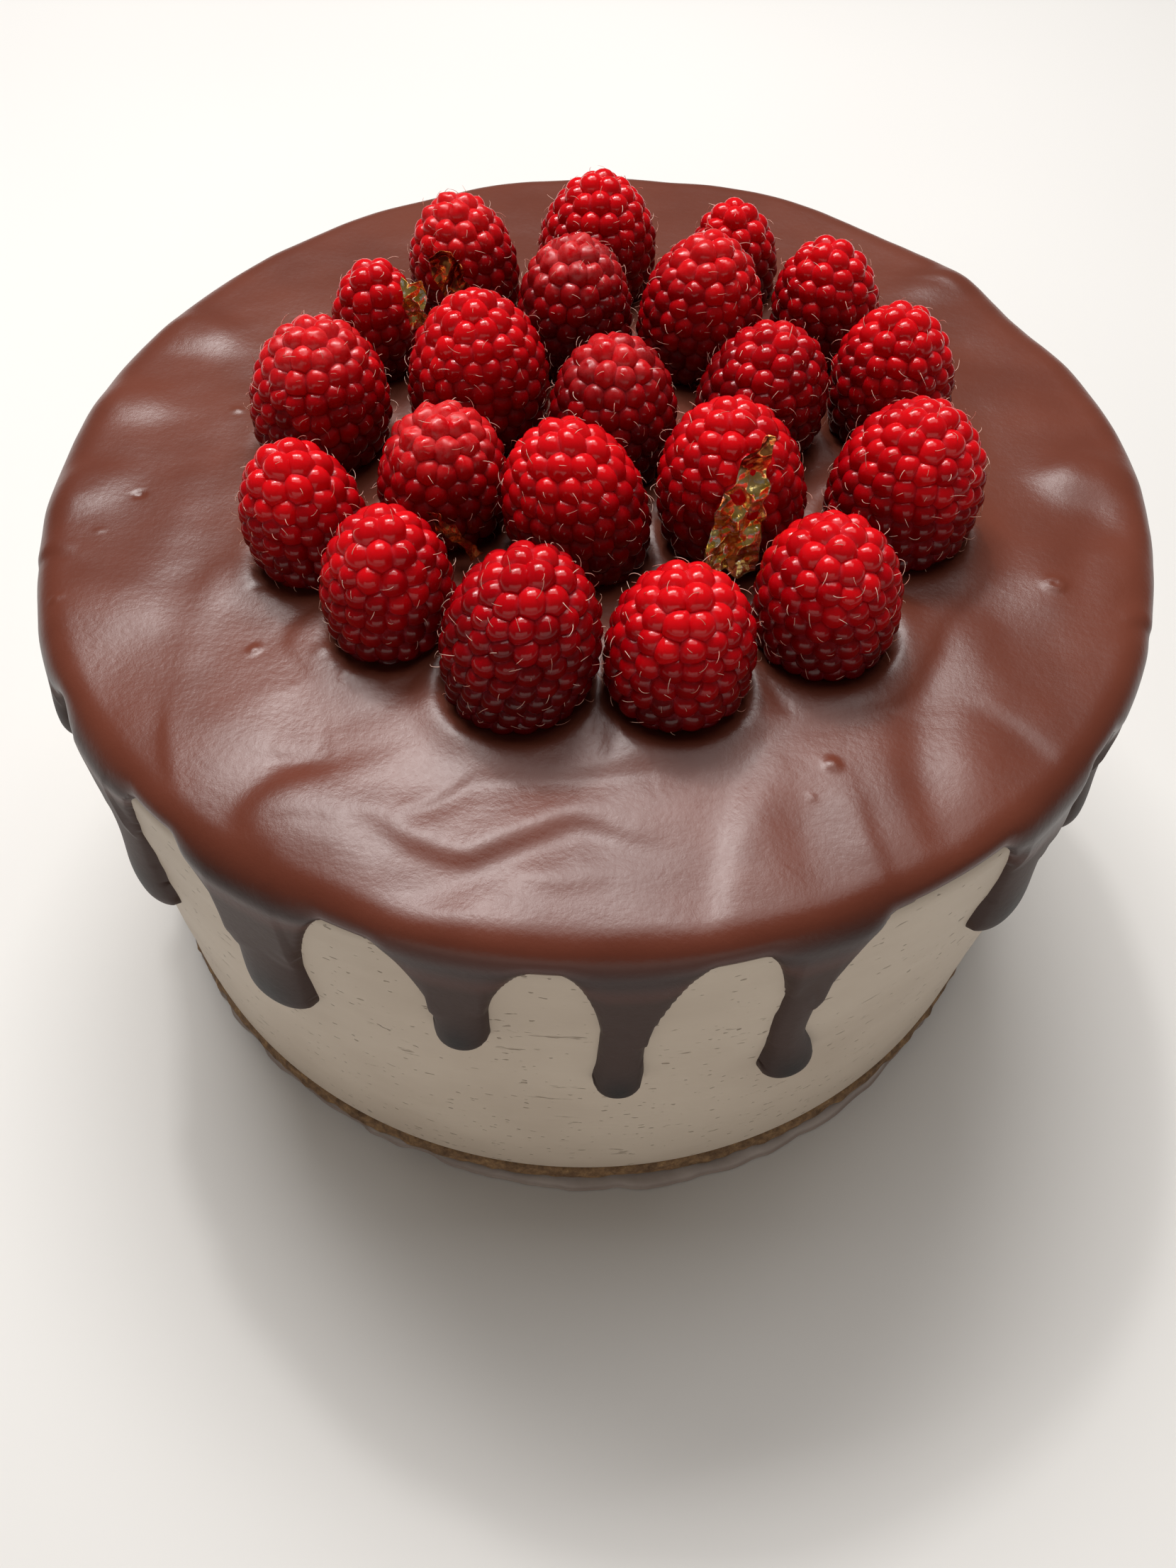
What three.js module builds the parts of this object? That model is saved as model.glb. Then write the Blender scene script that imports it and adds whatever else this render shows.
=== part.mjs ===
// A bird's milk cake: a round block of pale mousse on a thin brown base, a milk chocolate
// glaze that covers the top and runs down the side, raspberries, and scraps of gold leaf.
// Millimetres and degrees, +Z up. The origin is the middle of the underside. The front,
// with the widest stretch of bare mousse, faces -Y, and angles turn from +X towards +Y.
import * as THREE from 'three';

// ---- Driving dimensions -------------------------------------------------------------

const CAKE_RADIUS = 80.0; // the mousse is cast in a ring 16 cm across
const BED_THICKNESS = 0.9; // smear of cream under the cake
const BED_RADIUS = 81.0; // mean radius; it shows past the wall mostly at the front
const BED_OVAL = 1.5; // its edge swells and shrinks by this much, twice round
const BED_WAVE = 0.5; // and by this much, five times round
const BED_WIDEST = -73; // angle at which both are widest
const BASE_HEIGHT = 3.0; // thin brown base layer, from the bed up
const BASE_SPREAD = 0.8; // the base is pressed out past the mousse by this much at its foot
const MOUSSE_TOP = 79.4;
const MOUSSE_BEVEL = 1.5; // least that is taken off its top edge, under the glaze
const GLAZE_TOP = 82.0;
const GLAZE_ON_WALL = 1.0; // thickness of the glaze where it hangs down the wall
const ARCH_DEPTH = 3.2; // how far the glaze's edge is below its top between two drips
const ARCH_WAVE = 0.4; // and how much that varies round the cake
const SWIRL = 0.45; // height of the swirls in the top, outside the berries
const FOOT_SHIFT = 0.6; // the cake stands this far right of the middle of its bed
const LEAN = 1.0; // and its top this far right of its foot
const TOP_SLOPE = 0.02; // the top rises to the right by this much in each millimetre
const RIB = 0.5; // how far a drip stands out from the glaze beside it
const BULB = 1.8; // and how far its swollen end does
const GAP = 0.3; // between pieces that touch

// The glaze turns down over a shoulder, tight in front and soft at two places behind.
const SHOULDER = 5.0;
const SOFT_SHOULDERS = [
  { angle: 33, spread: 42, extra: 4.0 },
  { angle: 160, spread: 48, extra: 3.6 },
];

// The cake isn't quite round at its rim: where it is drawn in, how widely, and how far.
const DENTS_FROM = 45; // height where that starts; it is full at the top of the mousse
const DENTS = [
  { angle: -170, spread: 25, depth: 2.1 },
  { angle: -6, spread: 29, depth: 2.8 },
  { angle: 28, spread: 7, depth: 1.5 },
  { angle: 51, spread: 10, depth: 1.5 },
  { angle: 79, spread: 7, depth: 1.2 },
  { angle: 96, spread: 7, depth: 1.1 },
  { angle: 114, spread: 7, depth: 1.3 },
  { angle: 132, spread: 12, depth: 2.2 },
  { angle: 151, spread: 10, depth: 1.2 },
];

// Drips: where each hangs, the height of its tip, half its width, and how far its flank
// flares out on the left and on the right before it meets the arch beside it.
const DRIPS = [
  { angle: -152, tip: 63, half: 4.0, left: 4.5, right: 4.0 },
  { angle: -139, tip: 44, half: 5.6, left: 4.5, right: 4.5 },
  { angle: -118.8, tip: 48, half: 5.6, left: 6.0, right: 5.5 },
  { angle: -100, tip: 57, half: 3.5, left: 6.4, right: 5.4 },
  { angle: -86, tip: 44.5, half: 3.4, left: 4.6, right: 6.0 },
  { angle: -69.4, tip: 40.5, half: 4.0, left: 3.4, right: 5.0 },
  { angle: -47, tip: 54.5, half: 5.2, left: 3.4, right: 5.0 },
  { angle: -29.5, tip: 51, half: 4.5, left: 5.0, right: 5.0 },
  { angle: -8, tip: 62, half: 3.8, left: 5.0, right: 5.5 },
  { angle: 14, tip: 48, half: 4.4, left: 5.5, right: 4.5 },
  { angle: 38, tip: 59, half: 4.8, left: 5.0, right: 5.5 },
  { angle: 61, tip: 43, half: 4.1, left: 6.0, right: 4.5 },
  { angle: 86, tip: 55, half: 4.6, left: 5.0, right: 6.0 },
  { angle: 111, tip: 49, half: 3.9, left: 4.5, right: 5.0 },
  { angle: 136, tip: 61, half: 4.4, left: 6.0, right: 5.0 },
  { angle: 163, tip: 52, half: 4.7, left: 5.0, right: 6.0 },
  { angle: 186, tip: 58, half: 4.1, left: 5.0, right: 4.5 },
];

// Raspberries: middle of the foot, widest radius, height, how far the tip stands to the
// right of the foot, and how blunt the tip is (0 pointed, 1 round).
const BERRIES = [
  { x: -7.5, y: -42.9, radius: 9.6, height: 20.0, lean: 2.0, blunt: 0.5 },
  { x: 12.0, y: -42.8, radius: 9.0, height: 17.0, lean: 0.2, blunt: 0.8 },
  { x: -24.0, y: -33.7, radius: 8.3, height: 17.4, lean: 0.6, blunt: 0.4 },
  { x: 30.6, y: -34.3, radius: 9.0, height: 17.4, lean: -1.1, blunt: 0.8 },
  { x: -35.8, y: -21.3, radius: 8.0, height: 16.8, lean: -1.2, blunt: 0.5 },
  { x: 42.0, y: -14.8, radius: 9.9, height: 19.0, lean: 0.4, blunt: 0.6 },
  { x: -38.3, y: 2.3, radius: 9.8, height: 18.2, lean: 1.1, blunt: 0.6 },
  { x: -19.2, y: -13.5, radius: 8.8, height: 16.4, lean: 0.8, blunt: 0.7 },
  { x: 0.0, y: -19.3, radius: 9.5, height: 19.1, lean: -2.8, blunt: 0.3 },
  { x: 20.0, y: -15.3, radius: 9.8, height: 19.2, lean: -1.9, blunt: 0.6 },
  { x: 43.7, y: 8.2, radius: 8.8, height: 17.7, lean: -1.0, blunt: 0.5 },
  { x: 3.5, y: -0.1, radius: 9.0, height: 18.0, lean: 0.0, blunt: 0.5 },
  { x: 24.0, y: 4.5, radius: 9.2, height: 17.0, lean: 1.5, blunt: 0.5 },
  { x: -15.8, y: 7.0, radius: 10.1, height: 19.7, lean: 0.1, blunt: 0.3 },
  { x: -32.8, y: 21.7, radius: 6.8, height: 15.5, lean: 0.6, blunt: 0.5 },
  { x: -20.2, y: 37.3, radius: 8.6, height: 17.0, lean: -1.1, blunt: 0.4 },
  { x: 0.2, y: 43.0, radius: 9.5, height: 17.6, lean: 0.5, blunt: 0.3 },
  { x: -2.7, y: 23.7, radius: 8.8, height: 18.1, lean: 0.1, blunt: 0.7 },
  { x: 16.2, y: 23.7, radius: 9.3, height: 19.0, lean: 0.6, blunt: 0.3 },
  { x: 22.9, y: 42.3, radius: 7.1, height: 13.9, lean: -1.1, blunt: 0.4 },
  { x: 36.6, y: 27.7, radius: 8.3, height: 16.0, lean: -1.7, blunt: 0.4 },
];

// Scraps of gold leaf: middle of the lower edge, size, how the scrap is turned about the
// upright (turn), leant back (tilt) and rolled in its own plane (roll), and how much of
// its width is torn away at the top (taper).
const LEAF_THICKNESS = 0.35;
const LEAF_CREASE = 0.3; // how deep its folds are
const LEAVES = [
  { x: 18.6, y: -27.9, z: 86.2, width: 6.6, height: 17.6, turn: 4, tilt: 21, roll: -4, taper: 0.55 },
  { x: -25.1, y: 16.2, z: 89.6, width: 4.2, height: 7.6, turn: -8, tilt: 6, roll: 6, taper: 0.2 },
  { x: -20.6, y: 26.9, z: 89.0, width: 4.8, height: 6.4, turn: 10, tilt: 8, roll: 20, taper: 0.2 },
  { x: -13.6, y: -24.6, z: 84.0, width: 2.6, height: 8.6, turn: -6, tilt: 0, roll: 44, taper: 0.35 },
];

// ---- Shape of the cake --------------------------------------------------------------

const rad = THREE.MathUtils.degToRad;

/** The shorter way round from one angle to another, -180 to 180 degrees. */
function turnTo(angle, from) {
  return ((((angle - from) % 360) + 540) % 360) - 180;
}

/** A point at a height, at a distance from the leaning middle line of the cake. */
function onCake(angle, radius, z) {
  const middle = FOOT_SHIFT + (LEAN * z) / GLAZE_TOP;
  return new THREE.Vector3(middle + radius * Math.cos(rad(angle)), radius * Math.sin(rad(angle)), z);
}

/** How much the sloping top is raised at an angle and a distance from the middle. */
function slopeRise(angle, radius) {
  return TOP_SLOPE * radius * Math.cos(rad(angle));
}

/** Radius of the glaze's shoulder at an angle. */
function shoulderRadius(angle) {
  const soft = SOFT_SHOULDERS.map(({ angle: at, spread, extra }) => {
    const share = Math.min(1, Math.abs(turnTo(angle, at)) / spread);
    return extra * (0.5 + 0.5 * Math.cos(Math.PI * share));
  });
  return SHOULDER + Math.max(...soft);
}

/** How far the cake is drawn in at an angle and a height. */
function drawnIn(angle, z) {
  const atTop = DENTS.reduce((sum, { angle: at, spread, depth }) => {
    return sum + depth * Math.exp(-((turnTo(angle, at) / spread) ** 2));
  }, 0);
  return atTop * THREE.MathUtils.clamp((z - DENTS_FROM) / (MOUSSE_TOP - DENTS_FROM), 0, 1);
}

/** Widest radius of the glaze at an angle and a height. */
function rimRadius(angle, z) {
  return CAKE_RADIUS + GLAZE_ON_WALL - drawnIn(angle, z);
}

/** Width left at a height on a round shoulder that ends at a top height. */
function shoulderProfile(z, top, widest, round) {
  const up = Math.max(0, z - (top - round));
  return widest - round + Math.sqrt(Math.max(0, round * round - up * up));
}

/** Height of the glaze's lower edge: arches, lower under a soft shoulder, broken by the drips. */
function edgeHeight(angle) {
  const softer = shoulderRadius(angle) - SHOULDER;
  const level = GLAZE_TOP - ARCH_DEPTH - softer + slopeRise(angle, CAKE_RADIUS);
  const arch = level + ARCH_WAVE * Math.sin(rad(5 * angle));
  return DRIPS.reduce((edge, drip) => {
    const along = rad(turnTo(angle, drip.angle)) * CAKE_RADIUS;
    const beyond = Math.abs(along) - drip.half;
    if (beyond <= 0) {
      return Math.min(edge, drip.tip + drip.half - Math.sqrt(drip.half ** 2 - along ** 2));
    }
    const flare = along < 0 ? drip.left : drip.right;
    const share = 0.1 * flare - 0.05;
    const rest = Math.max(0, 1 - beyond / flare);
    return Math.min(edge, arch - share * (arch - drip.tip) * rest ** 2);
  }, arch);
}

/** How far the drips stand out from the glaze around them: a rib that ends in a bulb. */
function dripRelief(angle, z) {
  const relief = DRIPS.map((drip) => {
    const along = (rad(turnTo(angle, drip.angle)) * CAKE_RADIUS) / (1.2 * drip.half);
    const across = Math.sqrt(Math.max(0, 1 - along ** 2));
    const bulb = Math.exp(-(((z - drip.tip - drip.half) / (1.7 * drip.half)) ** 2));
    const fade = THREE.MathUtils.smoothstep(GLAZE_TOP - z, 1, 9);
    return across * fade * (RIB + (BULB - RIB) * bulb);
  });
  return Math.max(...relief);
}

/** The glaze's top is level where the berries stand and swirled between them and the rim. */
function topWave(angle, radius) {
  const wide = Math.sin(rad(3 * angle + 4 * radius));
  const narrow = 0.8 * Math.cos(rad(5 * angle - 3 * radius));
  return SWIRL * (wide + narrow) * THREE.MathUtils.smoothstep(radius, 54, 64);
}

// ---- Meshes -------------------------------------------------------------------------

/** A closed solid from rings of equally many points; a ring of one point closes an end. */
function loft(rings) {
  const points = rings.flat();
  const starts = [];
  rings.reduce((start, ring) => {
    starts.push(start);
    return start + ring.length;
  }, 0);
  const triangles = [];
  for (let row = 0; row + 1 < rings.length; row += 1) {
    const [low, high] = [rings[row], rings[row + 1]];
    const count = Math.max(low.length, high.length);
    for (let i = 0; i < count; i += 1) {
      const next = (i + 1) % count;
      const [a, b] = [starts[row] + i, starts[row] + next];
      const [c, d] = [starts[row + 1] + i, starts[row + 1] + next];
      if (low.length === 1) triangles.push(starts[row], d, c);
      else if (high.length === 1) triangles.push(a, b, starts[row + 1]);
      else triangles.push(a, b, d, a, d, c);
    }
  }
  const geometry = new THREE.BufferGeometry();
  geometry.setAttribute('position', new THREE.Float32BufferAttribute(points.flatMap((p) => p.toArray()), 3));
  geometry.setIndex(triangles);
  geometry.computeVertexNormals();
  return geometry;
}

function evenAngles(count) {
  return Array.from({ length: count }, (_, i) => (i * 360) / count - 180);
}

/** The smear of cream that the cake stands on, with an uneven edge. */
function creamBed() {
  const angles = evenAngles(72);
  const point = (angle, radius, z) =>
    new THREE.Vector3(radius * Math.cos(rad(angle)), radius * Math.sin(rad(angle)), z);
  const spread = (angle) => {
    const from = rad(angle - BED_WIDEST);
    return BED_RADIUS + BED_OVAL * Math.cos(2 * from) + BED_WAVE * Math.cos(5 * from);
  };
  return loft([
    [new THREE.Vector3(0, 0, 0)],
    angles.map((angle) => point(angle, spread(angle), 0)),
    angles.map((angle) => point(angle, spread(angle) - 0.5, BED_THICKNESS)),
    [new THREE.Vector3(0, 0, BED_THICKNESS)],
  ]);
}

/** The thin brown layer between the bed and the mousse, widest at its foot. */
function baseLayer() {
  const angles = evenAngles(72);
  const [bottom, top] = [BED_THICKNESS + GAP, BED_THICKNESS + BASE_HEIGHT];
  const ring = (z, radius) => angles.map((angle) => onCake(angle, radius, z));
  return loft([
    [new THREE.Vector3(0, 0, bottom)],
    ring(bottom, CAKE_RADIUS + BASE_SPREAD),
    ring(top, CAKE_RADIUS),
    [new THREE.Vector3(0, 0, top)],
  ]);
}

/** How much of the mousse's top edge is taken off: more under a soft shoulder. */
function mousseBevel(angle) {
  return MOUSSE_BEVEL + 0.9 * (shoulderRadius(angle) - SHOULDER);
}

/** The block of mousse, up to the underside of the glaze. */
function mousse() {
  const angles = evenAngles(72);
  const bottom = BED_THICKNESS + BASE_HEIGHT + GAP;
  const ring = (inset, height) => angles.map((angle) => {
    const radius = CAKE_RADIUS - inset(angle);
    const z = height(angle, radius);
    return onCake(angle, radius - drawnIn(angle, z), z);
  });
  const none = () => 0;
  return loft([
    [new THREE.Vector3(0, 0, bottom)],
    ring(() => 0.3, () => bottom),
    ring(none, () => bottom + 0.8),
    ring(none, () => DENTS_FROM),
    ring(none, (angle, radius) => MOUSSE_TOP + slopeRise(angle, radius) - mousseBevel(angle)),
    ring(mousseBevel, (angle, radius) => MOUSSE_TOP + slopeRise(angle, radius)),
    [onCake(0, 0, MOUSSE_TOP)],
  ]);
}

/** Angles of the glaze's columns: close together at the drips, wide apart elsewhere. */
function glazeAngles() {
  const wanted = DRIPS.flatMap(({ angle, half, left, right }) => {
    const offsets = [
      -half - left, -half - 0.45 * left, -half - 0.4, -half, -0.6 * half,
      0, 0.6 * half, half, half + 0.4, half + 0.45 * right, half + right,
    ];
    return offsets.map((offset) => turnTo(angle + THREE.MathUtils.radToDeg(offset / CAKE_RADIUS), 0));
  }).sort((a, b) => a - b);
  const closest = 0.2;
  const widest = 5;
  const apart = wanted.filter((angle, i) => i === 0 || angle - wanted[i - 1] > closest);
  return apart.flatMap((angle, i) => {
    const next = i + 1 < apart.length ? apart[i + 1] : apart[0] + 360;
    const steps = Math.ceil((next - angle) / widest);
    return Array.from({ length: steps }, (_, k) => angle + ((next - angle) * k) / steps);
  });
}

/** The glaze: a lid over the mousse whose wavy edge hangs down in drips. */
function glaze() {
  const angles = glazeAngles();
  const ring = (point) => angles.map(point);
  const outside = (angle, z) => {
    const top = GLAZE_TOP + slopeRise(angle, CAKE_RADIUS);
    return shoulderProfile(z, top, rimRadius(angle, z), shoulderRadius(angle)) + dripRelief(angle, z);
  };
  const thinnest = 0.5; // where an arch ends on the shoulder
  const inner = (angle, z) => {
    const wall = CAKE_RADIUS + GAP - drawnIn(angle, z);
    return Math.min(wall, outside(angle, edgeHeight(angle) + 0.5) - thinnest);
  };
  const outerRing = (share, above) => ring((angle) => {
    const top = GLAZE_TOP + slopeRise(angle, CAKE_RADIUS);
    const edge = edgeHeight(angle);
    const shoulderEnd = Math.max(edge, top - shoulderRadius(angle));
    const wanted = share <= 0
      ? shoulderEnd - share * (top - shoulderEnd)
      : THREE.MathUtils.lerp(shoulderEnd, edge, share);
    const z = Math.max(wanted, edge + above);
    return onCake(angle, outside(angle, z), z);
  });
  const lip = ring((angle) => {
    const z = edgeHeight(angle);
    return onCake(angle, Math.max(inner(angle, z) + 0.45, outside(angle, z) - 0.7), z);
  });
  const innerWall = (height) => ring((angle) => {
    const z = height(angle);
    return onCake(angle, inner(angle, z), z);
  });
  const underBevel = (angle) => MOUSSE_TOP + GAP + slopeRise(angle, CAKE_RADIUS) - mousseBevel(angle);
  const topRing = (radius) => ring((angle) => {
    const z = GLAZE_TOP + slopeRise(angle, radius) + topWave(angle, radius);
    return onCake(angle, radius, z);
  });

  return loft([
    [onCake(0, 0, MOUSSE_TOP + GAP)],
    ring((angle) => {
      const radius = inner(angle, MOUSSE_TOP) - mousseBevel(angle);
      return onCake(angle, radius, MOUSSE_TOP + GAP + slopeRise(angle, radius));
    }),
    innerWall((angle) => Math.max(underBevel(angle), edgeHeight(angle) + 0.35)),
    innerWall((angle) => edgeHeight(angle) + 0.1),
    lip,
    outerRing(0.86, 0.5),
    outerRing(0.5, 0.75),
    outerRing(0, 1),
    outerRing(-0.6, 1.25),
    ring((angle) => {
      const radius = rimRadius(angle, GLAZE_TOP) - shoulderRadius(angle);
      return onCake(angle, radius, GLAZE_TOP + slopeRise(angle, CAKE_RADIUS));
    }),
    topRing(63),
    topRing(52),
    [onCake(0, 0, GLAZE_TOP)],
  ]);
}

/** Radius of a raspberry at a share of its height, as a share of its widest radius. */
function berryProfile(share, blunt) {
  const widestAt = 0.28;
  if (share < widestAt) return 0.88 + 0.12 * Math.sin((Math.PI / 2) * (share / widestAt));
  const up = (share - widestAt) / (1 - widestAt);
  return (1 - up ** 2.3) ** (0.72 - 0.22 * blunt);
}

/** A raspberry with coarse drupelets, standing on the sloping glaze. */
function raspberry({ radius, height, lean, blunt, x }) {
  const columns = 12;
  const shares = [0.12, 0.3, 0.48, 0.65, 0.81, 0.93];
  const drupelet = 0.04;
  const at = (share, distance, angle) => {
    const px = distance * Math.cos(angle) + lean * share;
    return new THREE.Vector3(px, distance * Math.sin(angle), height * share + TOP_SLOPE * (x + px));
  };
  const ring = (share, row) => Array.from({ length: columns }, (_, i) => {
    const bump = 1 - drupelet * ((i + row) % 2);
    const angle = ((i + 0.5 * (row % 2)) * 2 * Math.PI) / columns;
    return at(share, radius * berryProfile(share, blunt) * bump, angle);
  });
  return loft([[at(0, 0, 0)], ring(0, 1), ...shares.map(ring), [at(1, 0, 0)]]);
}

/** A scrap of leaf: a thin creased plate, upright in XZ, narrowing towards its top. */
function leafScrap({ width, height, taper }) {
  const [across, up] = [3, 5];
  const fullest = 0.35; // the share of its height at which the scrap is widest
  const breadth = (v) => 0.62 + 0.38 * Math.cos(2.2 * (v - fullest)) - taper * v ** 3;
  const creased = (u, v, side) => {
    const crease = LEAF_CREASE * Math.cos(9 * v + 4 * u) * Math.sin(Math.PI * v);
    const y = crease + (side * LEAF_THICKNESS) / 2;
    return new THREE.Vector3((u - 0.5) * width * breadth(v), y, v * height);
  };
  const row = (v) => {
    const near = Array.from({ length: across + 1 }, (_, i) => creased(i / across, v, -1));
    const far = Array.from({ length: across + 1 }, (_, i) => creased(1 - i / across, v, 1));
    return [...near, ...far];
  };
  const middle = (v) => creased(0.5, v, 0);
  const rows = Array.from({ length: up + 1 }, (_, i) => row(i / up));
  return loft([[middle(0)], ...rows, [middle(1)]]);
}

// ---- Materials and assembly ---------------------------------------------------------

const material = (color, roughness, metalness = 0) =>
  new THREE.MeshStandardMaterial({ color, roughness, metalness });

const FINISH = {
  cream: material('#bdb2ab', 0.6),
  base: material('#6b4528', 0.85),
  mousse: material('#d2cbbd', 0.6),
  glaze: material('#6e4436', 0.35),
  raspberry: material('#b01522', 0.35),
  gold: material('#d9b25a', 0.25, 1),
};

const cake = new THREE.Group();

function add(name, geometry, finish) {
  const mesh = new THREE.Mesh(geometry, finish);
  mesh.name = name;
  cake.add(mesh);
  return mesh;
}

add('cream_bed', creamBed(), FINISH.cream);
add('base_layer', baseLayer(), FINISH.base);
add('mousse', mousse(), FINISH.mousse);
add('chocolate_glaze', glaze(), FINISH.glaze);

BERRIES.forEach((berry, i) => {
  const name = `raspberry_${String(i + 1).padStart(2, '0')}`;
  add(name, raspberry(berry), FINISH.raspberry).position.set(berry.x, berry.y, GLAZE_TOP + GAP);
});

LEAVES.forEach((leaf, i) => {
  const mesh = add(`gold_leaf_${i + 1}`, leafScrap(leaf), FINISH.gold);
  mesh.position.set(leaf.x, leaf.y, leaf.z);
  mesh.rotation.set(-rad(leaf.tilt), -rad(leaf.roll), rad(leaf.turn), 'ZXY');
});

export default cake;
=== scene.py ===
"""The looks of a bird's milk cake: pale mousse on a brown base, a poured milk chocolate glaze,
raspberries with their fine hairs, and scraps of gold leaf.

Numbers are millimetres and degrees, and each mesh is turned into metres as it is made. The front
of the cake faces -Y, and angles turn from +X towards +Y.
"""

import math
from dataclasses import dataclass

import bmesh
import bpy
import numpy as np
from mathutils import Matrix, Vector


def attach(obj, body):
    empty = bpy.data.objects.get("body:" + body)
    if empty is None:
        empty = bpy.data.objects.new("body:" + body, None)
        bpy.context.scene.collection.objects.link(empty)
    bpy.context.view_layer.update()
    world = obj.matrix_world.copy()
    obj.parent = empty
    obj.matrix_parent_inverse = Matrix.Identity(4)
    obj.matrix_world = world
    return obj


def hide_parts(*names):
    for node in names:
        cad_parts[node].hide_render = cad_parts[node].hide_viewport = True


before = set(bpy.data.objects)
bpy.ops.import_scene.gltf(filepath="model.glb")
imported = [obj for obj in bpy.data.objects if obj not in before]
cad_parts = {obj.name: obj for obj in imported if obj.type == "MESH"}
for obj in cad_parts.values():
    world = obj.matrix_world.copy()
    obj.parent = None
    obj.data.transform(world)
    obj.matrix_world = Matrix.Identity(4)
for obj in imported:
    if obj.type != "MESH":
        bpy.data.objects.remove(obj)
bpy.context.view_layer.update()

MM = 0.001
BODY = "root"

# ---- Driving dimensions ----------------------------------------------------------------
# Most are the solids' own. Here the drips also have necks and lean, and stand out 0.1 mm more,
# and the first scrap of gold leaf is wider.

CAKE_RADIUS = 80.0
BED_THICKNESS = 0.9  # smear of cream under the cake
BED_RADIUS = 81.0
BED_OVAL = 1.5  # its edge swells and shrinks by this much, twice round
BED_WAVE = 0.5  # and by this much, five times round
BED_WIDEST = -73  # angle at which both are widest
BASE_HEIGHT = 3.0  # brown base layer, from the bed up
BASE_SPREAD = 0.8  # its foot is this far outside the mousse
MOUSSE_TOP = 79.4
MOUSSE_ROUND = 3.4  # its top edge is rounded by this much under the glaze
GLAZE_TOP = 82.0
ARCH_DEPTH = 3.2  # the glaze's edge between two drips is this far below its top
ARCH_WAVE = 0.4  # and how much that varies round the cake
DENTS_FROM = 45.0  # the cake is drawn in from this height up
DENTS = [  # angle, spread, depth
    (-170, 25, 2.1), (-6, 29, 2.8), (28, 7, 1.5), (51, 10, 1.5), (79, 7, 1.2), (96, 7, 1.1), (114, 7, 1.3),
    (132, 12, 2.2), (151, 10, 1.2),
]
GLAZE_ON_WALL = 1.0  # thickness of the glaze where it hangs down the wall
FOOT_SHIFT = 0.6  # the cake's foot stands this far right of the middle
LEAN = 1.0  # and its top this much further
TOP_SLOPE = 0.02  # the top rises to the right by this much in each millimetre
RIB = 0.6  # how far a drip stands out from the glaze between the drips
BULB = 1.9  # and how far its bulb does
ARCH_EDGE = 1.7  # width of the glaze's rounded edge between the drips
GAP = 0.3  # between pieces that touch
LIP_DROP = 1.3  # the glaze meets the mousse this far below the edge that is seen
SOFT_SHOULDERS = [(33, 42, 4.0), (160, 48, 3.6)]  # angle, spread, extra radius


@dataclass
class Drip:
    """A drip: place, height of its tip, half width of its bulb, flares to the left and right,
    width of its neck as a share of the bulb's, and how far its upper part is shifted."""

    angle: float
    tip: float
    half: float
    left: float
    right: float
    neck: float = 0.85
    shift: float = 0.0


DRIPS = [
    Drip(-152, 63, 4.0, 4.5, 4.0),
    Drip(-139, 44, 5.6, 4.5, 4.5, 0.8),
    Drip(-118.8, 48, 5.6, 6.0, 5.5, 0.92),
    Drip(-100, 57, 3.5, 6.4, 5.4, 0.98),
    Drip(-86, 44.5, 3.4, 4.6, 6.0, 0.86),
    Drip(-69.4, 40.5, 4.0, 3.4, 5.0, 0.66, -1.6),
    Drip(-47, 54.5, 5.2, 3.4, 5.0, 0.85),
    Drip(-29.5, 51, 4.5, 5.0, 5.0, 0.8),
    Drip(-8, 62, 3.8, 5.0, 5.5),
    Drip(14, 48, 4.4, 5.5, 4.5, 0.75, 0.8),
    Drip(38, 59, 4.8, 5.0, 5.5),
    Drip(61, 43, 4.1, 6.0, 4.5, 0.7, -0.6),
    Drip(86, 55, 4.6, 5.0, 6.0),
    Drip(111, 49, 3.9, 4.5, 5.0, 0.8),
    Drip(136, 61, 4.4, 6.0, 5.0),
    Drip(163, 52, 4.7, 5.0, 6.0, 0.75, 0.7),
    Drip(186, 58, 4.1, 5.0, 4.5),
]


@dataclass
class Berry:
    """A raspberry: middle of its foot, widest radius, height, lean of its tip, bluntness."""

    x: float
    y: float
    radius: float
    height: float
    lean: float
    blunt: float


BERRIES = [
    Berry(-7.5, -42.9, 9.6, 20.0, 2.0, 0.5),
    Berry(12.0, -42.8, 9.0, 17.0, 0.2, 0.8),
    Berry(-24.0, -33.7, 8.3, 17.4, 0.6, 0.4),
    Berry(30.6, -34.3, 9.0, 17.4, -1.1, 0.8),
    Berry(-35.8, -21.3, 8.0, 16.8, -1.2, 0.5),
    Berry(42.0, -14.8, 9.9, 19.0, 0.4, 0.6),
    Berry(-38.3, 2.3, 9.8, 18.2, 1.1, 0.6),
    Berry(-19.2, -13.5, 8.8, 16.4, 0.8, 0.7),
    Berry(0.0, -19.3, 9.5, 19.1, -2.8, 0.3),
    Berry(20.0, -15.3, 9.8, 19.2, -1.9, 0.6),
    Berry(43.7, 8.2, 8.8, 17.7, -1.0, 0.5),
    Berry(3.5, -0.1, 9.0, 18.0, 0.0, 0.5),
    Berry(24.0, 4.5, 9.2, 17.0, 1.5, 0.5),
    Berry(-15.8, 7.0, 10.1, 19.7, 0.1, 0.3),
    Berry(-32.8, 21.7, 6.8, 15.5, 0.6, 0.5),
    Berry(-20.2, 37.3, 8.6, 17.0, -1.1, 0.4),
    Berry(0.2, 43.0, 9.5, 17.6, 0.5, 0.3),
    Berry(-2.7, 23.7, 8.8, 18.1, 0.1, 0.7),
    Berry(16.2, 23.7, 9.3, 19.0, 0.6, 0.3),
    Berry(22.9, 42.3, 7.1, 13.9, -1.1, 0.4),
    Berry(36.6, 27.7, 8.3, 16.0, -1.7, 0.4),
]


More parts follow.
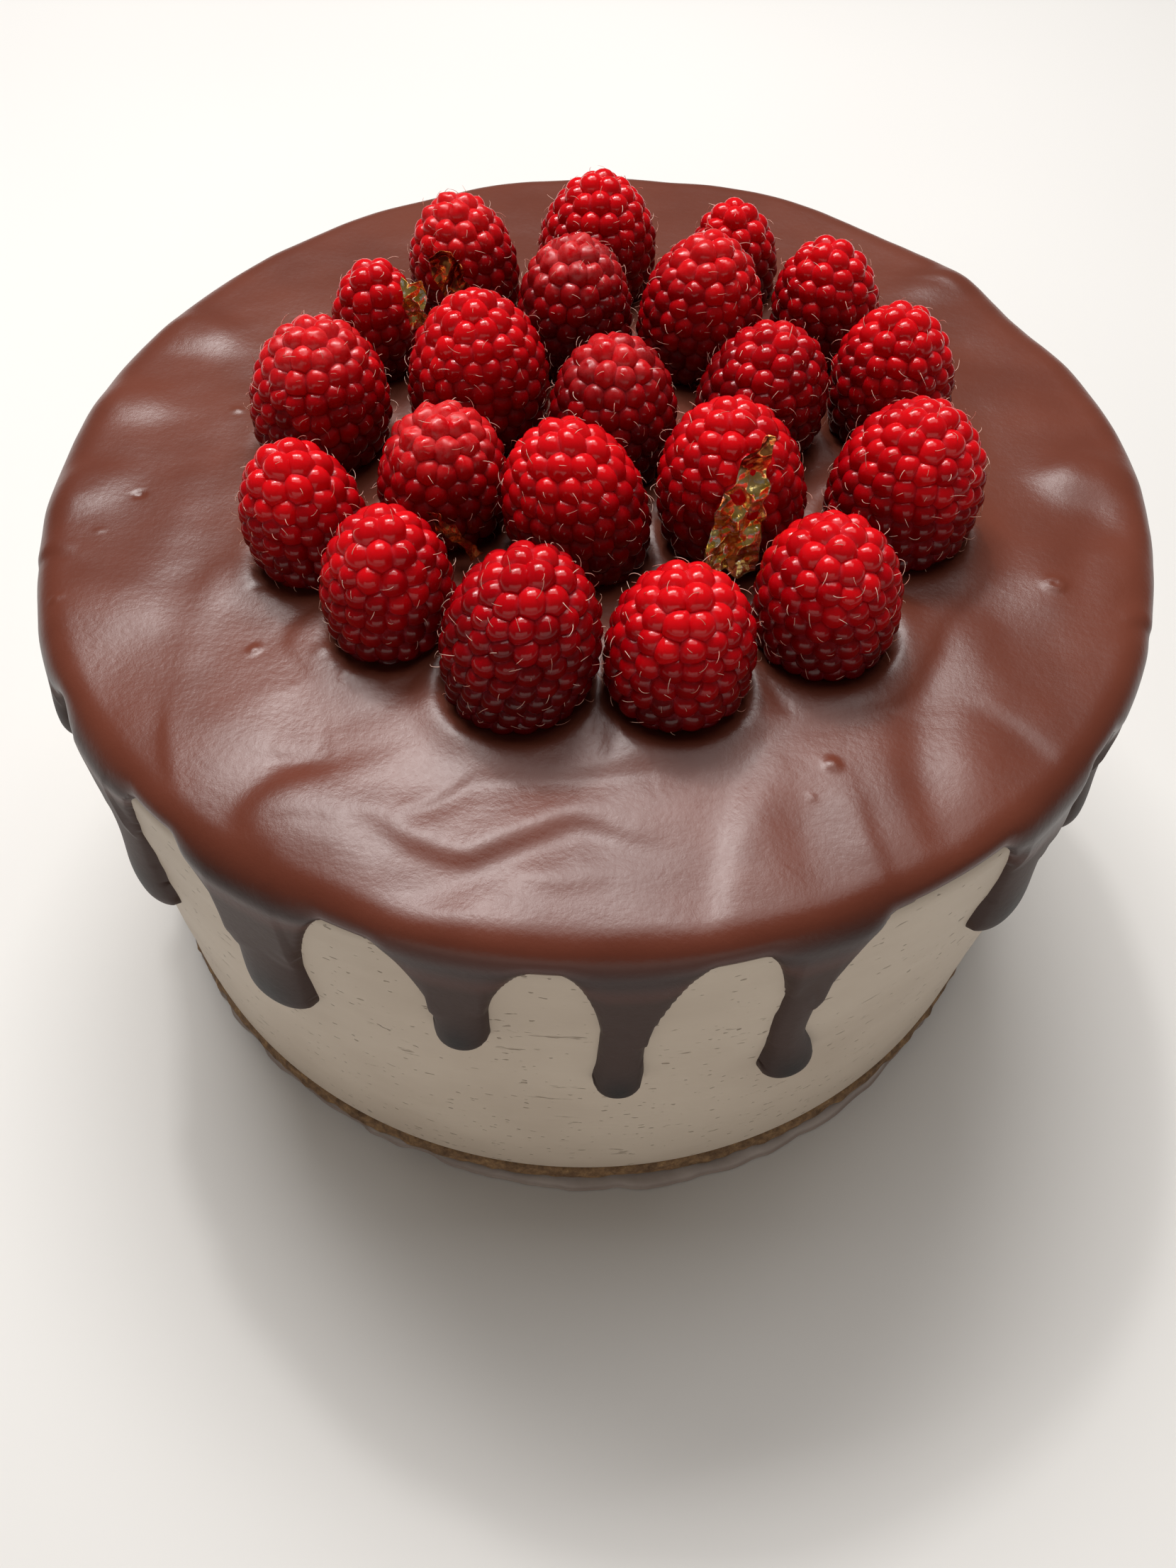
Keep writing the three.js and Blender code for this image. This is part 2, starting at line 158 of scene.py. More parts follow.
@dataclass
class Leaf:
    """A scrap of gold leaf: middle of its lower edge, size, turn, tilt, roll and taper."""

    x: float
    y: float
    z: float
    width: float
    height: float
    turn: float
    tilt: float
    roll: float
    taper: float


LEAVES = [
    Leaf(18.4, -27.9, 86.2, 8.2, 17.6, 4, 21, -2, 0.75),
    Leaf(-25.1, 16.2, 89.6, 4.2, 7.6, -8, 6, 6, 0.2),
    Leaf(-20.6, 26.9, 89.0, 4.8, 6.4, 10, 8, 20, 0.2),
    Leaf(-13.6, -24.6, 84.0, 2.6, 8.6, -6, 0, 44, 0.35),
]

# ---- Camera: it looks along +Y and down ------------------------------------------------

CAMERA_PLACE = (1.7, -131.7, 188.0)
CAMERA_PITCH = 55.33
CAMERA_ROLL = 1.80
FOCAL_PIXELS = 1580.0
PHOTO_HEIGHT = 2212.0
SENSOR = 36.0


def add_camera():
    pitch, roll = math.radians(CAMERA_PITCH), math.radians(CAMERA_ROLL)
    forward = Vector((0, math.cos(pitch), -math.sin(pitch)))
    level_right, level_up = Vector((1, 0, 0)), Vector((0, math.sin(pitch), math.cos(pitch)))
    right = math.cos(roll) * level_right + math.sin(roll) * level_up
    up = -math.sin(roll) * level_right + math.cos(roll) * level_up
    data = bpy.data.cameras.new("camera")
    data.sensor_fit = "VERTICAL"
    data.sensor_height = SENSOR
    data.lens = FOCAL_PIXELS / PHOTO_HEIGHT * SENSOR
    data.clip_start = 0.01
    camera = bpy.data.objects.new("camera", data)
    turn = Matrix((right, up, -forward)).transposed().to_4x4()
    camera.matrix_world = Matrix.Translation(Vector(CAMERA_PLACE) * MM) @ turn
    bpy.context.scene.collection.objects.link(camera)
    bpy.context.scene.camera = camera


# ---- Meshes ----------------------------------------------------------------------------


def make_piece(name, points, faces, finish, values=None, creases=None):
    """An object from points in mm and arrays of faces. values are named numbers at the points,
    and creases marks the points whose shared edges are sharp."""
    mesh = bpy.data.meshes.new(name)
    corners = np.concatenate([np.asarray(f).ravel() for f in faces]).astype(np.int32)
    sides = np.concatenate([np.full(len(f), np.asarray(f).shape[1]) for f in faces])
    mesh.vertices.add(len(points))
    mesh.vertices.foreach_set("co", (np.asarray(points) * MM).astype(np.float32).ravel())
    mesh.loops.add(len(corners))
    mesh.loops.foreach_set("vertex_index", corners)
    mesh.polygons.add(len(sides))
    mesh.polygons.foreach_set("loop_start", (np.cumsum(sides) - sides).astype(np.int32))
    mesh.polygons.foreach_set("use_smooth", np.ones(len(sides), bool))
    mesh.update(calc_edges=True)
    for key, numbers in (values or {}).items():
        layer = mesh.attributes.new(key, "FLOAT", "POINT")
        layer.data.foreach_set("value", np.asarray(numbers, np.float32))
    if creases is not None:
        ends = np.zeros(len(mesh.edges) * 2, np.int32)
        mesh.edges.foreach_get("vertices", ends)
        sharp = creases[ends.reshape(-1, 2)].all(axis=1)
        mesh.attributes.new("sharp_edge", "BOOLEAN", "EDGE").data.foreach_set("value", sharp)
    mesh.validate()
    mesh.materials.append(finish)
    piece = bpy.data.objects.new(name, mesh)
    bpy.context.scene.collection.objects.link(piece)
    return piece


def ring_faces(first, second, count):
    """Quads between two rings of equally many points, given by their first numbers."""
    i = np.arange(count)
    j = (i + 1) % count
    return np.stack([first + i, first + j, second + j, second + i], axis=1)


def halving_faces(outer, inner, count):
    """Triangles from a ring of count points to an inner ring of half as many."""
    i = np.arange(count // 2)
    j = (i + 1) % (count // 2)
    a, b, c = outer + 2 * i, outer + 2 * i + 1, outer + (2 * i + 2) % count
    return np.concatenate([
        np.stack([inner + i, a, b], axis=1),
        np.stack([inner + i, b, inner + j], axis=1),
        np.stack([inner + j, b, c], axis=1),
    ])


def fan_faces(ring, middle, count):
    i = np.arange(count)
    return np.stack([ring + i, ring + (i + 1) % count, np.full(count, middle)], axis=1)


def uneven(points, size, seed, waves=14):
    """A smooth uneven field, about -1 to 1, whose humps are as wide as size."""
    rng = np.random.default_rng(seed)
    ways = unit(rng.normal(size=(waves, 3)))
    rates = rng.uniform(0.7, 1.4, waves) * math.pi / size
    phases = rng.uniform(0, 2 * math.pi, waves)
    total = sum(np.cos(points @ w * r + p) for w, r, p in zip(ways, rates, phases))
    return total / math.sqrt(waves)


def smoothstep(value, low, high):
    share = np.clip((value - low) / (high - low), 0, 1)
    return share * share * (3 - 2 * share)


def smooth_max(a, b, blend):
    near = np.maximum(blend - np.abs(a - b), 0) / blend
    return np.maximum(a, b) + near * near * blend / 4


def bell(distance, spread):
    """1 at no distance, 0.37 at the spread and close to 0 at twice the spread."""
    return np.exp(-((distance / spread) ** 2))


def unit(vectors):
    return vectors / np.linalg.norm(vectors, axis=-1, keepdims=True)


def cos_deg(angle):
    return np.cos(np.radians(angle))


def sin_deg(angle):
    return np.sin(np.radians(angle))


def around_cake(count):
    """Angles evenly around the cake."""
    return np.arange(count) * 360 / count - 180


def level_ways(angle):
    """Level directions out of the cake's middle line."""
    return np.stack([cos_deg(angle), sin_deg(angle), 0 * angle], axis=-1)


# ---- Form of the cake ------------------------------------------------------------------


def turn_to(angle, start):
    """The shorter way round from one angle to another, -180 to 180 degrees."""
    return (angle - start + 180.0) % 360.0 - 180.0


def on_cake(angle, radius, z):
    """Points at a height, at a distance from the leaning middle line of the cake."""
    angle, radius, z = np.broadcast_arrays(angle, radius, z)
    middle = FOOT_SHIFT + LEAN * z / GLAZE_TOP
    return np.stack([middle + radius * cos_deg(angle), radius * sin_deg(angle), z], axis=-1)


def middle_point(z):
    return on_cake(0.0, 0.0, z)


def slope_rise(angle, radius):
    """How far the sloping top is above its middle's height."""
    return TOP_SLOPE * radius * cos_deg(angle)


def soft_extra(angle):
    """How much rounder the shoulder is at an angle than where it is tight."""
    extra = 0.0
    for at, spread, most in SOFT_SHOULDERS:
        share = np.minimum(1, np.abs(turn_to(angle, at)) / spread)
        extra = np.maximum(extra, most * (0.5 + 0.5 * np.cos(np.pi * share)))
    return extra


def mousse_round(angle):
    return MOUSSE_ROUND + 0.9 * soft_extra(angle)


def wall_end(angle):
    """Height at which the wall turns into the shoulder."""
    return MOUSSE_TOP + slope_rise(angle, CAKE_RADIUS) - mousse_round(angle)


def mousse_skin(angle, way):
    """Points of the mousse's skin and the directions out of it. way is the distance up the skin:
    the height on the wall, and on from there round the shoulder and in along the top."""
    bend = mousse_round(angle)
    end = wall_end(angle)
    turn = np.clip((way - end) / bend, 0, np.pi / 2)
    inward = np.maximum(0, way - end - bend * np.pi / 2)
    radius = CAKE_RADIUS - bend + bend * np.cos(turn) - inward
    flat = CAKE_RADIUS - bend
    drop = np.where(inward > 0, TOP_SLOPE * CAKE_RADIUS * cos_deg(angle) * inward / flat, 0)
    z = np.minimum(way, end) + bend * np.sin(turn) - drop
    radius = radius * (1 - drawn_in(angle, z) / CAKE_RADIUS)
    outward = np.stack(
        [np.cos(turn) * cos_deg(angle), np.cos(turn) * sin_deg(angle), np.sin(turn) + 0 * angle], axis=-1
    )
    return on_cake(angle, radius, z), outward, turn


def way_at_radius(angle, share):
    """The way up the skin to a place on the top, given as a share of the flat top's radius."""
    bend = mousse_round(angle)
    return wall_end(angle) + bend * np.pi / 2 + (CAKE_RADIUS - bend) * (1 - share)


def drawn_in(angle, z):
    """How far the cake is drawn in at an angle and a height."""
    at_top = sum(depth * bell(turn_to(angle, at), spread) for at, spread, depth in DENTS)
    share = np.clip((z - DENTS_FROM) / (MOUSSE_TOP - DENTS_FROM), 0, 1)
    return at_top * share


def arch_height(angle):
    level = GLAZE_TOP - ARCH_DEPTH - soft_extra(angle) + slope_rise(angle, CAKE_RADIUS)
    return level + ARCH_WAVE * sin_deg(5 * angle) - LIP_DROP


def drip_axis(drip, angle, way):
    """Distance to the right of a drip's middle line, and height above its bulb's middle."""
    above = way - (drip.tip - LIP_DROP + drip.half)
    along = np.radians(turn_to(angle, drip.angle)) * CAKE_RADIUS
    return along - drip.shift * smoothstep(above, 0, 12), above


def glaze_reach(angle, way):
    """How far inside the glaze's edge a place on the mousse's skin is; below 0 it is bare."""
    arch = arch_height(angle)
    flanks = way - arch
    bulbs = np.full_like(flanks, -50.0)
    for drip in DRIPS:
        along, above = drip_axis(drip, angle, way)
        neck = drip.half * drip.neck
        beyond = np.abs(along) - neck
        flare = drip.left + (drip.right - drip.left) * smoothstep(along, -2, 2)
        drop = (0.1 * flare - 0.05) * (arch - drip.tip + LIP_DROP)
        rest = np.clip(1 - np.maximum(0, beyond) / (flare + drip.half - neck), 0, 1)
        flanks = np.maximum(flanks, way - arch + drop * rest**2)
        width = neck + (drip.half - neck) * bell(np.maximum(0, above), 1.3 * drip.half)
        bulbs = np.maximum(bulbs, width - np.hypot(along, np.minimum(0, above)))
    return smooth_max(flanks, bulbs, 1.6)


def drip_relief(angle, way):
    """How far the drips stand out, and how wide their rounded edge is."""
    relief, edge = 0.0, ARCH_EDGE
    for drip in DRIPS:
        along, above = drip_axis(drip, angle, way)
        near = np.exp(-((along / (1.6 * drip.half)) ** 4))
        bulb = bell(above, 1.7 * drip.half)
        fade = smoothstep(GLAZE_TOP - way, 1, 9)
        relief = relief + near * fade * (RIB + (BULB - RIB) * bulb)
        edge = edge + near * fade * (0.9 * drip.half - ARCH_EDGE)
    return relief, edge


# ---- Relief of the glaze's top ---------------------------------------------------------

# Folds: the points they run through, height, width, and how far their slopes reach to the
# sides. Going along a fold, the left side stands up and the right side sinks.
FOLDS = [
    ([(-27.5, -56.5), (-33.5, -58.5), (-37.0, -62.5), (-36.5, -66.0), (-32.5, -69.5)], 0.42, 1.7, 7.0),
    ([(-36.0, -55.0), (-30.5, -55.2)], 0.14, 1.0, 3.0),
    ([(-21.8, -64.4), (-17.0, -67.5), (-12.0, -69.0), (-9.0, -68.0), (-4.0, -65.5), (0.5, -63.5),
      (5.5, -65.0)], 0.40, 1.2, 4.5),
    ([(-6.5, -71.0), (-1.0, -72.2), (5.0, -71.0)], 0.12, 1.2, 3.0),
    ([(-11.0, -57.6), (-1.0, -57.2), (9.5, -55.4)], 0.26, 1.2, 4.0),
    ([(26.5, -49.0), (35.0, -47.0), (40.5, -44.0), (44.0, -38.0), (46.5, -32.5), (53.0, -25.0)],
     0.30, 1.1, 4.5),
    ([(-19.3, -63.2), (-15.6, -61.2), (-11.8, -58.0)], 0.12, 0.6, 2.0),
    ([(23.0, -53.0), (19.5, -59.5), (17.5, -66.0), (15.5, -77.0)], 0.26, 1.5, 6.0),
    ([(39.5, -47.0), (38.6, -56.0), (40.4, -67.0)], -0.34, 2.0, 6.0),
    ([(48.5, -45.5), (53.0, -48.8), (57.5, -54.5)], 0.10, 0.9, 3.0),
    ([(32.8, -59.0), (33.8, -65.0), (35.8, -72.0)], -0.16, 1.1, 3.4),
    ([(-49.8, -49.0), (-48.8, -54.0), (-46.5, -60.0)], 0.10, 0.6, 2.0),
    ([(-34.6, -31.0), (-36.8, -37.5), (-33.0, -43.0)], 0.16, 1.0, 3.0),
    ([(51.5, 45.5), (56.5, 44.6), (60.5, 41.8)], 0.10, 0.7, 2.4),
    ([(-75.5, -22.5), (-72.0, -21.6), (-68.5, -22.6)], 0.22, 0.9, 2.4),
    ([(76.0, -31.8), (72.6, -31.0), (69.5, -32.2)], -0.24, 0.9, 2.4),
]

# Soft humps (hollows below 0): x, y, size across, size from front to back, height, and how
# many degrees they are turned.
HUMPS = [
    (-43.0, -56.5, 5.0, 8.0, 0.30, -12),
    (-28.5, -64.0, 4.0, 3.4, 0.30, 0),
    (-16.5, -73.5, 4.0, 2.2, -0.25, 0),
    (28.0, -66.0, 3.4, 6.0, -0.35, 10),
    (46.5, -53.0, 3.6, 8.0, 0.30, -18),
    (53.5, -45.5, 2.6, 5.5, 0.22, 35),
    (-62.0, 27.5, 4.8, 3.4, 0.95, -20),
    (-69.0, 10.0, 4.8, 3.6, 0.85, -8),
    (-70.5, -9.0, 4.6, 3.8, 0.80, 30),
    (-62.5, -32.0, 6.4, 5.0, 0.60, 15),
    (-52.5, -26.0, 2.6, 12.0, -0.20, 0),
    (-47.0, -27.0, 3.0, 4.6, 0.30, -30),
    (70.5, -3.5, 4.8, 4.2, 1.50, 10),
    (75.0, -12.0, 2.6, 4.6, 0.50, 8),
    (62.0, -23.0, 3.2, 6.0, 0.65, -14),
    (70.0, -22.5, 2.8, 5.4, 0.85, -28),
    (57.0, 44.0, 4.8, 3.0, 0.80, 20),
    (49.5, -34.5, 2.6, 3.4, 0.20, 0),
]

# Where the top falls away before the rim: angle, spread, the radius where that starts, depth.
FALLS = [
    (-140, 13, 63.0, 1.1),
    (-120, 10, 70.0, 0.8),
    (-109, 5, 71.0, 0.7),
    (-66, 7, 73.0, 0.6),
    (-54, 8, 71.0, 0.6),
    (-40, 9, 71.0, 0.5),
]

# The glaze swells up around some berries, counted from 0: by how much.
SKIRTS = {0: 0.62, 1: 0.58, 2: 0.30, 3: 0.56, 4: 0.36, 5: 0.50, 10: 0.30}
OTHER_SKIRT = 0.1
SKIRT_AWAY = 0.9  # from the berry's side to the crest of that swelling
SKIRT_WIDTH = 2.8

# Pimples and pits: x, y, radius, height.
PIMPLES = [
    (61.5, -26.0, 1.3, 0.45),
    (61.5, -26.0, 0.6, -0.35),
    (-62.5, -10.5, 0.7, -0.35),
    (-40.8, -38.7, 0.7, 0.30),
    (30.0, -55.0, 0.9, 0.35),
    (27.3, -59.6, 0.4, 0.20),
    (-66.0, -17.9, 0.4, 0.20),
    (-68.2, -30.9, 0.6, 0.25),
    (-52.6, 8.7, 0.7, 0.25),
    (-42.5, -28.0, 0.7, -0.25),
]
BEADS_FOOT = 2  # the berry, counted from 0, with small beads of glaze along its foot
BEADS_SEED = 5
BEAD_HEIGHT = 0.32
FOOT_DENT = 0.4  # how deep the glaze dips beside a berry
FOOT_DENT_WIDTH = 1.1
FOOT_DENT_UNDER = 0.9  # it is at its deepest from this far under the berry's side


def smooth_line(points, step=0.8):
    """Points along a smooth line through the given ones, and the way it heads at each."""
    pts = np.array([points[0], *points, points[-1]], float)
    line = []
    for a, b, c, d in zip(pts, pts[1:], pts[2:], pts[3:]):
        count = max(2, int(np.linalg.norm(c - b) / step))
        t = np.linspace(0, 1, count, endpoint=False)[:, None]
        line.append(0.5 * (2 * b + (c - a) * t + (2 * a - 5 * b + 4 * c - d) * t**2
                           + (3 * b - a - 3 * c + d) * t**3))
    line = np.concatenate([*line, pts[-1:]])
    return line, unit(np.gradient(line, axis=0))


def top_relief(x, y):
    """Height of the folds, humps, dents and pimples in the glaze's top."""
    height = np.zeros_like(x)
    for points, amount, width, reach in FOLDS:
        line, heading = smooth_line(points)
        close = np.full(x.shape, np.inf)
        side = np.zeros_like(x)
        share = np.zeros_like(x)
        for i, ((px, py), (hx, hy)) in enumerate(zip(line, heading)):
            dx, dy = x - px, y - py
            distance = dx * dx + dy * dy
            nearer = distance < close
            close = np.where(nearer, distance, close)
            side = np.where(nearer, hx * dy - hy * dx, side)
            share = np.where(nearer, i / (len(line) - 1), share)
        taper = np.sqrt(np.clip(np.sin(np.pi * (0.04 + 0.92 * share)), 0, 1))
        height += amount * taper * np.tanh(side / width) * np.exp(-close / reach**2)
    for cx, cy, wide, deep, amount, turned in HUMPS:
        across = (x - cx) * cos_deg(turned) + (y - cy) * sin_deg(turned)
        along = (y - cy) * cos_deg(turned) - (x - cx) * sin_deg(turned)
        height += amount * np.exp(-0.5 * (np.hypot(across / wide, along / deep) ** 2.6))
    for cx, cy, radius, amount in PIMPLES:
        height += amount * np.exp(-(((x - cx) ** 2 + (y - cy) ** 2) / radius**2) ** 1.5)
    angle, far = np.degrees(np.arctan2(y, x)), np.hypot(x, y)
    for at, spread, start, depth in FALLS:
        outward = np.clip((far - start) / (CAKE_RADIUS - start), 0, 1.2)
        height -= depth * bell(turn_to(angle, at), spread) * outward**2
    swell = np.zeros_like(x)
    for index, berry in enumerate(BERRIES):
        beyond = np.hypot(x - berry.x, y - berry.y) - berry.radius
        height -= FOOT_DENT * bell(np.maximum(0, beyond + FOOT_DENT_UNDER), FOOT_DENT_WIDTH)
        ring = SKIRTS.get(index, OTHER_SKIRT) * bell(beyond - SKIRT_AWAY, SKIRT_WIDTH)
        swell = np.maximum(swell, ring)
    height += swell
    rng = np.random.default_rng(BEADS_SEED)
    foot = BERRIES[BEADS_FOOT]
    for angle in np.arange(-150, 10, 8.5):
        at = angle + rng.uniform(-3, 3)
        out = foot.radius + rng.uniform(0.4, 1.6)
        cx, cy = foot.x + out * cos_deg(at), foot.y + out * sin_deg(at)
        radius = rng.uniform(0.35, 0.6)
        height += BEAD_HEIGHT * np.exp(-((x - cx) ** 2 + (y - cy) ** 2) / radius**2)
    return height


def swirl(points):
    """Slow unevenness all over the top."""
    slow = 0.26 * uneven(points * (1, 1, 0), 24, 11) + 0.09 * uneven(points * (1, 1, 0), 9, 12)
    return slow + 0.02 * uneven(points * (1, 1, 0), 3.5, 13)


# ---- Finishes --------------------------------------------------------------------------


def srgb(red, green, blue):
    """A colour given as 0 to 255 in sRGB, as the linear colour that shaders take."""
    def linear(level):
        share = level / 255
        return share / 12.92 if share <= 0.04045 else ((share + 0.055) / 1.055) ** 2.4
    return (linear(red), linear(green), linear(blue), 1.0)


class Value:
    """A number that changes over a surface. Python's operators on it add Math nodes."""

    def __init__(self, finish, socket):
        self.finish = finish
        self.socket = socket

    def math(self, operation, first, second):
        """The result of a Math node on two numbers, of which this is one."""
        return self.finish.node("ShaderNodeMath", {"operation": operation}, {0: first, 1: second})

    def __add__(self, other):
        return self.math("ADD", self, other)

    def __radd__(self, other):
        return self.math("ADD", other, self)

    def __sub__(self, other):
        return self.math("SUBTRACT", self, other)

    def __rsub__(self, other):
        return self.math("SUBTRACT", other, self)

    def __mul__(self, other):
        return self.math("MULTIPLY", self, other)

    def __rmul__(self, other):
        return self.math("MULTIPLY", other, self)

    def between(self, low, high):
        """0 below low, 1 above high, and smooth in between."""
        ends = {"Value": self, "From Min": low, "From Max": high}
        return self.finish.node("ShaderNodeMapRange", {"interpolation_type": "SMOOTHSTEP"}, ends)


class Finish:
    """A material around one Principled shader, whose even values are given by socket name."""

    def __init__(self, name, **even):
        self.material = bpy.data.materials.new(name)
        self.material.use_nodes = True
        self.tree = self.material.node_tree
        self.shader = self.tree.nodes["Principled BSDF"]
        for key, value in even.items():
            self.shader.inputs[key.replace("_", " ")].default_value = value

    def node(self, kind, settings=None, inputs=None, output=0):
        """A node of a kind, with its settings, the values or links of its sockets, and the
        socket to go on from."""
        made = self.tree.nodes.new(kind)
        for key, value in (settings or {}).items():
            if key == "stops":
                self.set_stops(made.color_ramp, value)
            else:
                setattr(made, key, value)
        for key, value in (inputs or {}).items():
            if isinstance(value, Value):
                self.tree.links.new(value.socket, made.inputs[key])
            else:
                made.inputs[key].default_value = value
        return Value(self, made.outputs[output])

    @staticmethod
    def set_stops(ramp, stops):
        while len(ramp.elements) < len(stops):
            ramp.elements.new(1.0)
        for element, (place, colour) in zip(ramp.elements, stops):
            element.position = place
            element.color = colour

    def feed(self, socket, value):
        self.tree.links.new(value.socket, self.shader.inputs[socket])

    def place(self):
        return self.node("ShaderNodeTexCoord", output="Object")

    def stored(self, name):
        """A number that the mesh holds at its points."""
        return self.node("ShaderNodeAttribute", {"attribute_name": name}, output="Fac")

    def stretch(self, place, x, y, z):
        return self.node("ShaderNodeVectorMath", {"operation": "MULTIPLY"}, {0: place, 1: (x, y, z)})

    def noise(self, size, detail=2.0, rough=0.5, place=None):
        """Noise from 0 to 1 with humps of a size in mm."""
        return self.node(
            "ShaderNodeTexNoise",
            {},
            {"Vector": place or self.place(), "Scale": 1000 / size, "Detail": detail, "Roughness": rough},
        )

    def mix(self, share, first, second):
        """A colour between two, by a share."""
        return self.node("ShaderNodeMix", {"data_type": "RGBA"}, {0: share, 6: first, 7: second}, output=2)

    def ramp(self, value, stops):
        return self.node("ShaderNodeValToRGB", {"stops": stops}, {"Fac": value})

    def bump(self, height, strength, depth, under=None):
        """A bump from a height of 0 to 1 that is depth mm deep."""
        inputs = {"Height": height, "Strength": strength, "Distance": depth * MM}
        if under is not None:
            inputs["Normal"] = under
        return self.node("ShaderNodeBump", {}, inputs)


def glaze_finish():
    """Milk chocolate glaze: a soft sheen above and dull where it hangs in drips, with painted shade on the
    shoulder and painted shade and reflection on the drips.
    """
    f = Finish("milk_chocolate_glaze", IOR=1.39)
    hang, turn = f.stored("hang"), f.stored("turn")
    cloud = f.noise(22, 3)
    top = f.mix(cloud.between(0.35, 0.7), srgb(98, 48, 34), srgb(108, 55, 40))
    # Painted shade: the glaze is painted dark where it turns down over the shoulder (the turn value).
    rim = f.mix(turn, top, srgb(46, 16, 8))
    # Painted shade and painted reflection: the hanging drips are painted darker and greyer than the top,
    # and darker still in the middle of each bulb.
    drip = f.mix(f.stored("bulb"), srgb(60, 38, 31), srgb(16, 4, 2))
    f.feed("Base Color", f.mix(hang, rim, drip))
    grain = f.noise(0.9, 3, 0.65)
    f.feed("Roughness", 0.29 + 0.20 * hang + 0.08 * grain)
    fine = f.bump(grain, 0.5, 0.08)
    f.feed("Normal", f.bump(f.noise(4.5, 2), 0.3, 0.12, fine))
    return f.material


def mousse_finish():
    """Pale mousse: warm grey white, with short level streaks and pits from the smoothing, painted darker as
    painted shade in these small hollows.
    """
    f = Finish("pale_mousse", Roughness=0.55, IOR=1.4)
    place = f.place()
    cloud = f.noise(30, 3, place=place)
    pale = f.mix(cloud.between(0.3, 0.7), srgb(198, 183, 166), srgb(210, 196, 179))
    levels = f.stretch(place, 0.4, 0.4, 1.4)
    streak = f.noise(2.4, 3, 0.6, levels).between(0.67, 0.75)
    pits = f.noise(1.1, 1, 0.4, f.stretch(place, 0.7, 0.7, 1.5)).between(0.71, 0.77)
    marks = streak.math("MAXIMUM", streak, pits)
    # Painted shade: the streaks and pits, which the bump sinks in, are painted darker brown.
    f.feed("Base Color", f.mix(0.55 * marks, pale, srgb(122, 102, 80)))
    wipe = f.noise(3.0, 4, 0.6, f.stretch(place, 0.22, 0.22, 1.4))
    fine = f.bump(wipe, 0.6, 0.16)
    f.feed("Normal", f.bump(1 - marks, 0.8, 0.25, fine))
    return f.material


def base_finish():
    """Brown baked layer with golden crumbs."""
    f = Finish("brown_base", Roughness=0.8)
    crumb = f.noise(1.4, 4, 0.7)
    f.feed("Base Color", f.ramp(crumb, [
        (0.30, srgb(84, 60, 40)),
        (0.50, srgb(128, 98, 68)),
        (0.66, srgb(158, 124, 84)),
        (0.78, srgb(206, 174, 122)),
    ]))
    f.feed("Normal", f.bump(crumb, 0.9, 0.4))
    return f.material


def cream_finish():
    """Thin smear of cream: grey and a little mauve, darker at its very edge."""
    f = Finish("smeared_cream", Roughness=0.5)
    cloud = f.noise(7, 3)
    smear = f.mix(cloud.between(0.3, 0.7), srgb(188, 176, 170), srgb(208, 198, 192))
    f.feed("Base Color", f.mix(0.7 * f.stored("edge"), smear, srgb(128, 108, 96)))
    f.feed("Normal", f.bump(f.noise(2.2, 3, 0.6, f.stretch(f.place(), 1, 1, 0.5)), 0.5, 0.2))
    return f.material


def raspberry_finish():
    """Ripe fruit: bright red tips and dark crimson below, as painted light and painted shade, and a pale
    bloom with painted sheen where drupelets meet.
    """
    f = Finish(
        "ripe_raspberry", IOR=1.34, Subsurface_Weight=0.35, Subsurface_Scale=0.002,
        Subsurface_Radius=(1.0, 0.08, 0.06),
    )
    rise, rim, tone, dry = f.stored("rise"), f.stored("rim"), f.stored("tone"), f.stored("dry")
    patch = f.noise(5, 2)
    # Painted light and shade: the colour runs from dark crimson low on the berry to bright red at its tip,
    # mixed with random tone.
    ripeness_and_painted_light = (rise + 0.4 * (patch - 0.5) + 0.3 * (tone - 0.5) + 0.6 * f.stored("light")).between(-0.1, 1.05)
    flesh = f.ramp(ripeness_and_painted_light, [
        (0.0, srgb(84, 0, 4)), (0.35, srgb(128, 0, 6)), (0.65, srgb(170, 0, 12)), (1.0, srgb(214, 10, 20)),
    ])
    # Bloom with painted sheen: the drupelets' borders are painted pale pink, partly real bloom and partly
    # painted sheen.
    edge = rim.between(0.5, 1.0) * f.noise(1.6, 3, 0.6).between(0.4, 0.7)
    bloom_and_painted_sheen = f.mix(0.28 * edge, flesh, srgb(196, 76, 92))
    dull = dry * f.noise(1.2, 3, 0.6).between(0.3, 0.7)
    f.feed("Base Color", f.mix(0.4 * dull, bloom_and_painted_sheen, srgb(206, 84, 84)))
    f.feed("Roughness", 0.13 + 0.2 * edge + 0.3 * dull)
    f.feed("Normal", f.bump(f.noise(0.6, 2), 0.14, 0.05))
    return f.material


def hair_finish():
    f = Finish("raspberry_hair", Roughness=0.45)
    f.feed("Base Color", f.mix(f.stored("tone"), srgb(206, 138, 122), srgb(242, 206, 188)))
    return f.material


def leaf_finish():
    """Gold leaf: bright crinkled metal with painted glints, that goes coppery towards its torn top."""
    f = Finish("gold_leaf", Metallic=0.9)
    patch = f.noise(3.0, 2, 0.5)
    gold = f.mix(patch.between(0.4, 0.6), srgb(224, 176, 72), srgb(255, 232, 150))
    # Painted glints: small spots of near white painted on the gold.
    painted_glint = f.noise(0.8, 2, 0.6).between(0.53, 0.62)
    gold = f.mix(painted_glint, gold, srgb(255, 250, 222))
    copper = f.mix(patch.between(0.46, 0.54), srgb(132, 44, 24), srgb(226, 152, 84))
    f.feed("Base Color", f.mix(f.stored("copper"), gold, copper))
    f.feed("Roughness", 0.14 + 0.16 * f.noise(0.9, 2))
    f.feed("Normal", f.bump(f.noise(0.5, 2, 0.5), 0.5, 0.1))
    return f.material


def floor_finish():
    f = Finish("pale_floor", Roughness=0.6)
    f.feed("Base Color", f.mix(f.noise(400, 2).between(0.3, 0.7), srgb(222, 220, 217), srgb(228, 226, 223)))
    return f.material


# ---- Pieces ----------------------------------------------------------------------------

